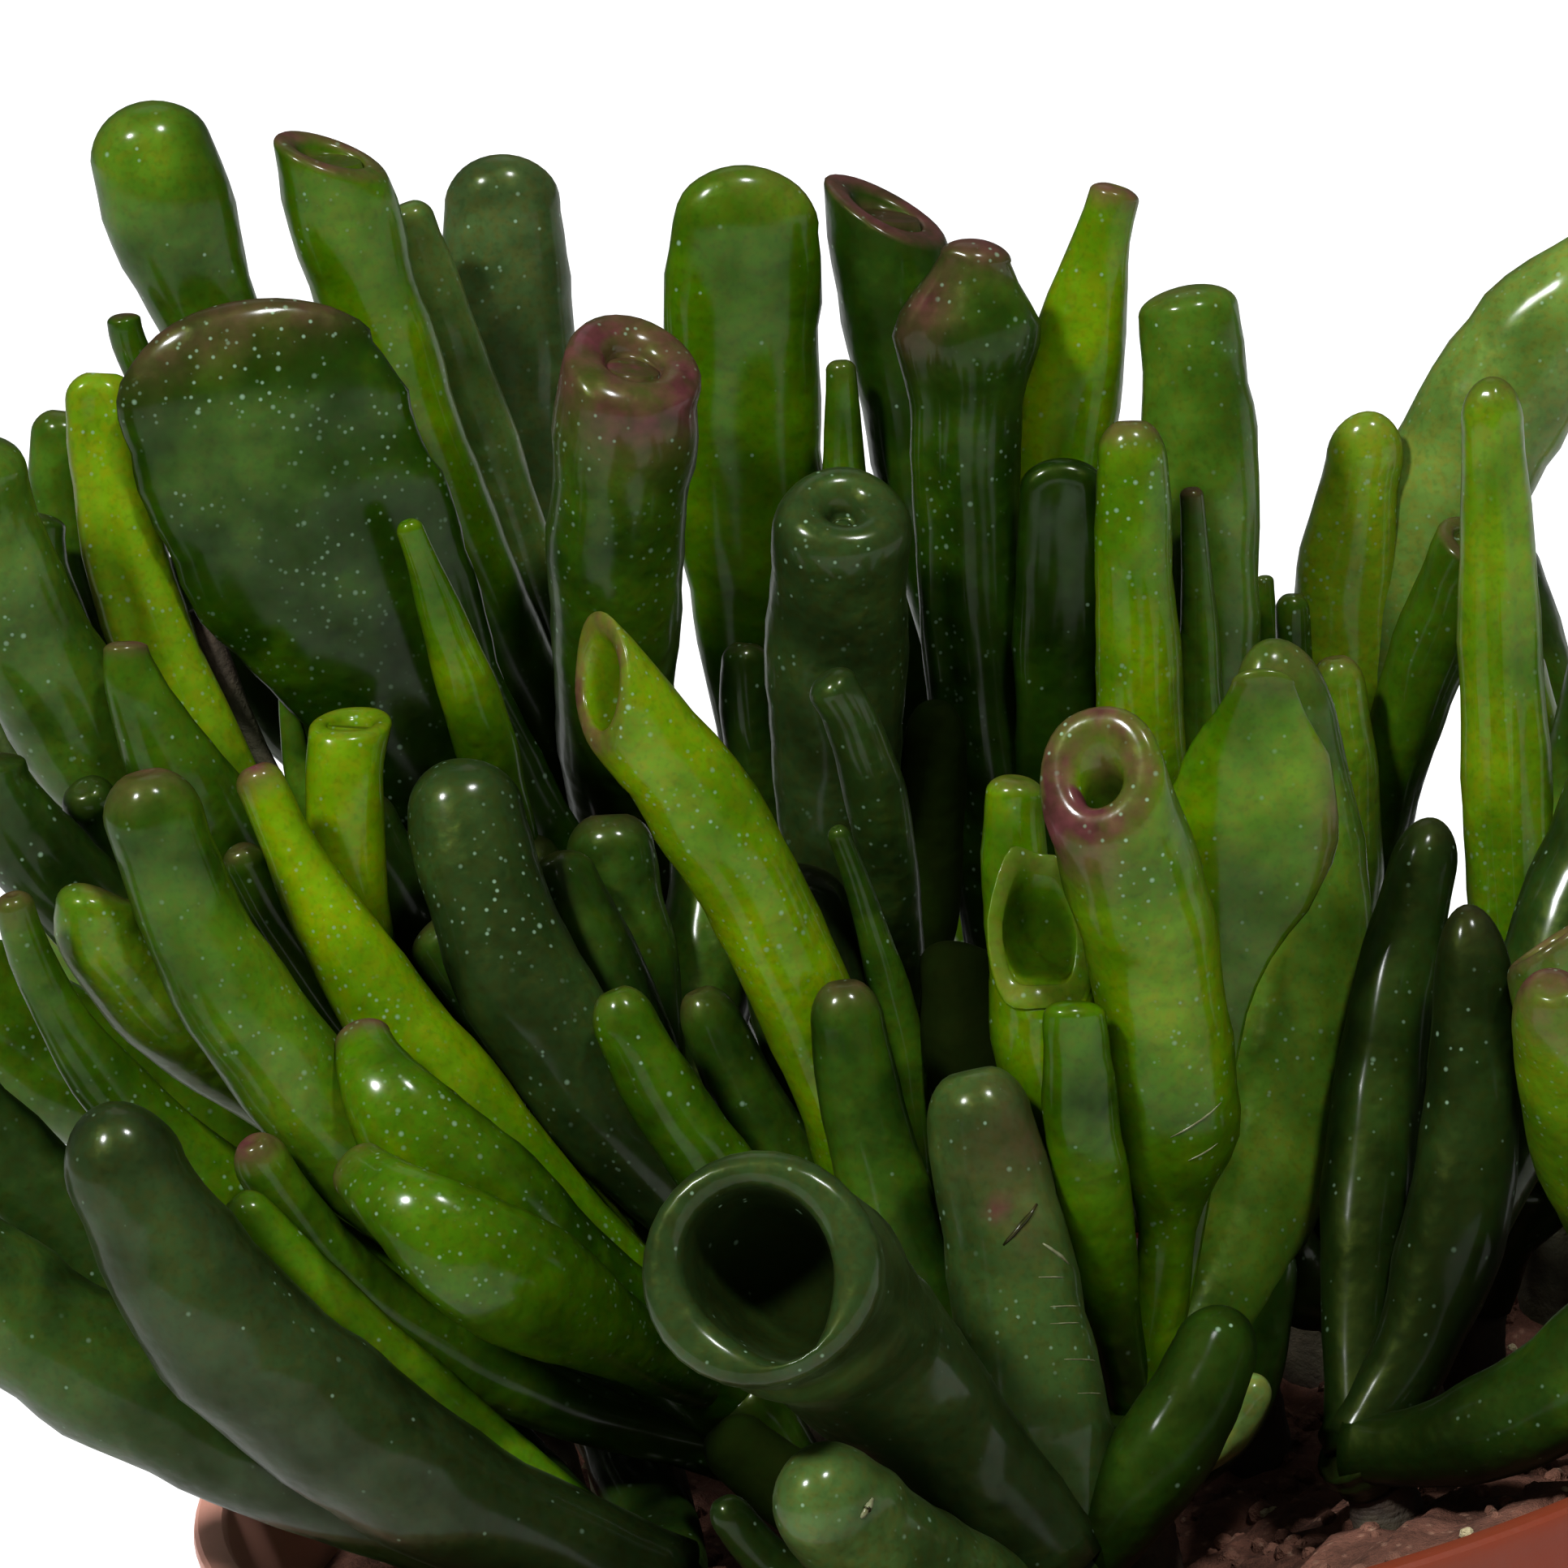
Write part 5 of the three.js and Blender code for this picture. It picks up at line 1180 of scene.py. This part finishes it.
def lathe_body(profile, sides):
    """Turns a closed profile of (radius, height), which starts and ends on the axis."""
    body = Body()
    angles = 2 * math.pi * np.arange(sides) / sides
    circle = np.stack([np.cos(angles), np.sin(angles)], -1)
    points = [np.column_stack([circle * r, np.full(sides, z)]) for r, z in profile[1:-1]]
    points = np.concatenate(points + [[[0, 0, profile[0][1]]], [[0, 0, profile[-1][1]]]])
    count = len(profile) - 2
    body.add(points, skin_faces(count, sides, count * sides, count * sides + 1))
    return body


def sharpen(piece, degrees):
    """Smooth shading, with the edges that turn more than this kept sharp."""
    work = bmesh.new()
    work.from_mesh(piece.data)
    for edge in work.edges:
        edge.smooth = len(edge.link_faces) == 2 and edge.calc_face_angle(0.0) < math.radians(degrees)
    for face in work.faces:
        face.smooth = True
    work.to_mesh(piece.data)
    work.free()


def bare_mesh(piece, name, material):
    """The piece with its modifiers applied, as a new plain object."""
    graph = bpy.context.evaluated_depsgraph_get()
    mesh = bpy.data.meshes.new_from_object(piece.evaluated_get(graph))
    mesh.name = name
    if not mesh.materials:
        mesh.materials.append(material)
    return add_object(name, mesh)


def make_pot():
    rim, base, wall, foot, step = POT["rim"], POT["base"], POT["wall"], POT["foot"], POT["lip_step"]
    neck, shoulder, floor = POT_NECK, POT_SHOULDER, POT_FLOOR
    profile = [
        (0, 0), (POT["pad"] - 0.3, 0), (POT["pad"], 0.15),
        (POT["pad"] + 1, foot - 0.1), (POT["pad"] + 1.3, foot),
        (base - 5.3, foot), (base - 5, foot - 0.15), (base - 4, 0.1), (base - 3.8, 0), (base - 1.0, 0),
        (base - 0.5, 0.1), (base - 0.1, 0.45), (base, 0.9),
        (base + (neck - base) * 0.33, 0.9 + (shoulder - 1.9) * 0.33),
        (base + (neck - base) * 0.67, 0.9 + (shoulder - 1.9) * 0.67),
        (neck, shoulder - 1), (neck + 0.25, shoulder - 0.55), (neck + step * 0.7, shoulder - 0.15),
        (neck + step, shoulder + 0.1), (neck + step + 0.1, shoulder + 0.5), (rim - 0.15, RIM - 1.4),
        (rim, RIM - 0.75), (rim - 0.12, RIM - 0.3), (rim - 0.4, RIM - 0.06), (rim - 0.8, RIM),
        (rim - wall, RIM), (rim - wall - 0.35, RIM - 0.1), (rim - wall - 0.6, RIM - 0.4),
        (rim - wall - 0.7, RIM - 0.8), (neck - wall + 0.1, shoulder - 1),
        (base - wall + 0.3, floor + 1.2), (base - wall - 0.6, floor), (0, floor),
    ]
    blank = lathe_body(profile, POT_SIDES).make("pot_blank", terracotta)
    drills = Body()
    for k in range(POT["holes"]):
        turn = 2 * math.pi * k / POT["holes"]
        middle = POT["hole_circle"] * np.array([math.cos(turn), math.sin(turn), 0.0])
        drills.add(*rod_skin([middle - UP * 6, middle + UP * 10], [POT["hole_radius"]] * 2, HOLE_SIDES))
    cutter = drills.make("pot_drills", terracotta, inside_box=False)
    cut = blank.modifiers.new("drain_holes", "BOOLEAN")
    cut.operation = "DIFFERENCE"
    cut.solver = "EXACT"
    cut.object = cutter
    pot = bare_mesh(blank, "pot_shell", terracotta)
    for spare in (blank, cutter):
        bpy.data.objects.remove(spare, do_unlink=True)
    sharpen(pot, SHARP_ANGLE)
    return settle(pot, "pot_plastic", "pot")


def bore_at(z):
    """The pot's inner radius at a height."""
    low, high = POT_FLOOR, POT_SHOULDER - 1
    narrow, mid = POT["base"] - POT["wall"], POT_NECK - POT["wall"] + 0.1
    wide = POT["rim"] - POT["wall"] - 0.7
    if z < high:
        return narrow + (mid - narrow) * (z - low) / (high - low)
    return mid + (wide - mid) * (z - high) / (RIM - 0.6 - high)


# ---------------------------------------------------------------- the soil

SOIL_SIDES = 120
SOIL_RINGS = 44
SOIL_GAP = 0.5
CRUMB_SIDES = 64
CRUMB_RINGS = 20
CRUMB_MARGIN = 2.2
CRUMB_SINK = 0.35
FULL_TURN = (CIRCLE, CIRCLE, CIRCLE)
# How far the lumps of the soil go up and down, and how far under the plan's level their middle lies.
CLOD_HEIGHT = 0.32
CLOD_SINK = 0.35


def clod(x, y):
    """Lumpy ground, always at or under the plan's own level."""
    rough = np.sin(x * 1.9 + np.sin(y * 1.3)) * np.sin(y * 2.1 + 0.7 * np.sin(x * 1.1))
    rough = rough + 0.6 * np.sin(x * 4.3 + y * 2.2) * np.sin(y * 3.9 - x * 1.7)
    return CLOD_HEIGHT * rough - CLOD_SINK


def ground_rings(radii, sides, level):
    """Rings of points about the axis, at a level that depends on the place."""
    angles = 2 * math.pi * np.arange(sides) / sides
    rings = []
    for radius in radii:
        x, y = radius * np.cos(angles), radius * np.sin(angles)
        rings.append(np.column_stack([x, y, level(x, y)]))
    return rings


def make_soil():
    body = Body()
    bottom, shoulder = POT_FLOOR + 0.35, POT_SHOULDER - 1
    edge = bore_at(RIM + SOIL_LEVEL - 1) - SOIL_GAP - 0.05
    points = ground_rings([bore_at(bottom) - SOIL_GAP], SOIL_SIDES, lambda x, y: 0 * x + bottom)
    points += ground_rings([bore_at(shoulder) - SOIL_GAP - 0.1], SOIL_SIDES, lambda x, y: 0 * x + shoulder)
    radii = [edge * (1 - k / SOIL_RINGS) for k in range(SOIL_RINGS)]
    points += ground_rings(radii, SOIL_SIDES, lambda x, y: soil_at(x, y) + clod(x, y))
    count = len(points)
    points = np.concatenate(points + [[[0, 0, bottom]], [[0, 0, soil_at(0, 0) + clod(0, 0)]]])
    body.add(points, skin_faces(count, SOIL_SIDES, count * SOIL_SIDES, count * SOIL_SIDES + 1))
    return settle(body.make("soil_body", soil_dark), "soil", "soil")


def scatter_tree(name, material, seed):
    """Crumbs on the upward faces of a surface: icospheres of a drawn size, turned at random."""
    tree = bpy.data.node_groups.new(name, "GeometryNodeTree")
    face = tree.interface
    face.new_socket("Geometry", in_out="INPUT", socket_type="NodeSocketGeometry")
    for label in ("Density", "Smallest", "Largest"):
        face.new_socket(label, in_out="INPUT", socket_type="NodeSocketFloat")
    face.new_socket("Geometry", in_out="OUTPUT", socket_type="NodeSocketGeometry")

    def add(kind, inputs=None, **settings):
        return add_node(tree, kind, inputs, **settings)

    start = add("NodeGroupInput")
    spread = add("GeometryNodeDistributePointsOnFaces",
                 {"Mesh": start["Geometry"], "Density": start["Density"], "Seed": seed})
    ball = add("GeometryNodeMeshIcoSphere", {"Radius": 1.0, "Subdivisions": 2})
    wobble = add("ShaderNodeTexNoise", {"Scale": 1.3})
    shift = add("ShaderNodeVectorMath", {0: wobble["Color"], 1: (0.5, 0.5, 0.5)}, operation="SUBTRACT")
    warp = add("GeometryNodeSetPosition", {"Geometry": ball["Mesh"], "Offset": shift["Vector"]})
    size = add("FunctionNodeRandomValue",
               {2: start["Smallest"], 3: start["Largest"], "Seed": seed + 1}, data_type="FLOAT")
    turn = add("FunctionNodeRandomValue", {1: FULL_TURN, "Seed": seed + 2}, data_type="FLOAT_VECTOR")
    place = add("GeometryNodeInstanceOnPoints", {"Points": spread["Points"], "Instance": warp["Geometry"],
                                                 "Rotation": turn[0], "Scale": size[1]})
    real = add("GeometryNodeRealizeInstances", {"Geometry": place["Instances"]})
    coat = add("GeometryNodeSetMaterial", {"Geometry": real["Geometry"], "Material": material})
    add("NodeGroupOutput", {"Geometry": coat["Geometry"]})
    return tree


def make_crumbs(name, material, seed, **sizes):
    """A loose layer of crumbs over the soil's top, kept inside the pot's wall. The sizes are in metres."""
    body = Body()
    reach = bore_at(RIM + SOIL_LEVEL) - CRUMB_MARGIN
    radii = [reach * (1 - k / CRUMB_RINGS) for k in range(CRUMB_RINGS)]
    rings = ground_rings(radii, CRUMB_SIDES, lambda x, y: soil_at(x, y) - CRUMB_SINK)
    open_sheet = skin_faces(CRUMB_RINGS, CRUMB_SIDES, 0, 0)[:(CRUMB_RINGS - 1) * CRUMB_SIDES]
    body.add(np.concatenate(rings), open_sheet)
    ground = body.make(name + "_ground", material)
    tree = scatter_tree(name + "_tree", material, seed)
    modifier = ground.modifiers.new("scatter", "NODES")
    modifier.node_group = tree
    for item in tree.interface.items_tree:
        if item.item_type == "SOCKET" and item.in_out == "INPUT" and item.name in sizes:
            modifier[item.identifier] = sizes[item.name]
    crumbs = bare_mesh(ground, name, material)
    bpy.data.objects.remove(ground, do_unlink=True)
    return settle(crumbs, "soil")


make_pot()
make_soil()
make_crumbs("soil_crumbs", soil_crumb, 11, Density=90000.0, Smallest=0.0003, Largest=0.00085)
make_crumbs("soil_pale_bits", soil_pale, 23, Density=16000.0, Smallest=0.0002, Largest=0.00055)

# ---------------------------------------------------------------- floor, light and camera

FLOOR_HALF = 4.0
FLOOR_GAP = 0.0002
SENSOR = 36.0
WORLD_LIGHT = 0.12
# Far lamps: name, heading in degrees from the front to the right, height over the floor in degrees, strength,
# softness in degrees and tint.
LAMPS = [
    ("window_left", -38, 50, 3.6, 8, (0.97, 0.99, 1)),
    ("window_right", 34, 56, 2.2, 7, (0.97, 0.99, 1)),
    ("window_back", 170, 60, 0.15, 30, (1, 1, 1)),
]


def make_floor():
    mesh = bpy.data.meshes.new("floor")
    corners = [(x * FLOOR_HALF, y * FLOOR_HALF, 0) for x, y in ((-1, -1), (1, -1), (1, 1), (-1, 1))]
    mesh.from_pydata(corners, [], [(0, 1, 2, 3)])
    pale = Paint("floor_pale")
    pale.set("Base Color", (0.93, 0.93, 0.93))
    pale.set("Roughness", 0.8)
    mesh.materials.append(pale.material)
    floor = add_object("floor", mesh)
    floor.location = (0, 0, -FLOOR_GAP)


def add_sun(name, heading, height, strength, softness, tint):
    data = bpy.data.lights.new(name, "SUN")
    data.energy = strength
    data.angle = math.radians(softness)
    data.color = tint
    lamp = add_object(name, data)
    across, up = math.radians(heading), math.radians(height)
    towards = Vector((math.sin(across) * math.cos(up), -math.cos(across) * math.cos(up), math.sin(up)))
    lamp.location = towards
    lamp.rotation_euler = towards.to_track_quat("Z", "Y").to_euler()


def make_world():
    world = bpy.data.worlds.new("studio")
    world.use_nodes = True
    ground = world.node_tree.nodes["Background"]
    ground.inputs["Color"].default_value = (1, 1, 1, 1)
    ground.inputs["Strength"].default_value = WORLD_LIGHT
    bpy.context.scene.world = world


def make_camera():
    data = bpy.data.cameras.new("front_camera")
    data.sensor_width = SENSOR
    data.sensor_fit = "HORIZONTAL"
    data.lens = DISTANCE * SENSOR / PLANE_SIZE
    data.clip_start, data.clip_end = 0.01, 20
    camera = add_object("front_camera", data)
    right = np.array([1.0, 0.0, 0.0]) * math.cos(ROLL) - VIEW_UP * math.sin(ROLL)
    up = np.array([1.0, 0.0, 0.0]) * math.sin(ROLL) + VIEW_UP * math.cos(ROLL)
    turn = Matrix([[right[i], up[i], TO_VIEWER[i]] for i in range(3)]).to_4x4()
    camera.matrix_world = Matrix.Translation(Vector(EYE * MM)) @ turn
    bpy.context.scene.camera = camera


make_floor()
make_world()
for lamp in LAMPS:
    add_sun(*lamp)
make_camera()
bpy.context.scene.view_settings.view_transform = "Standard"
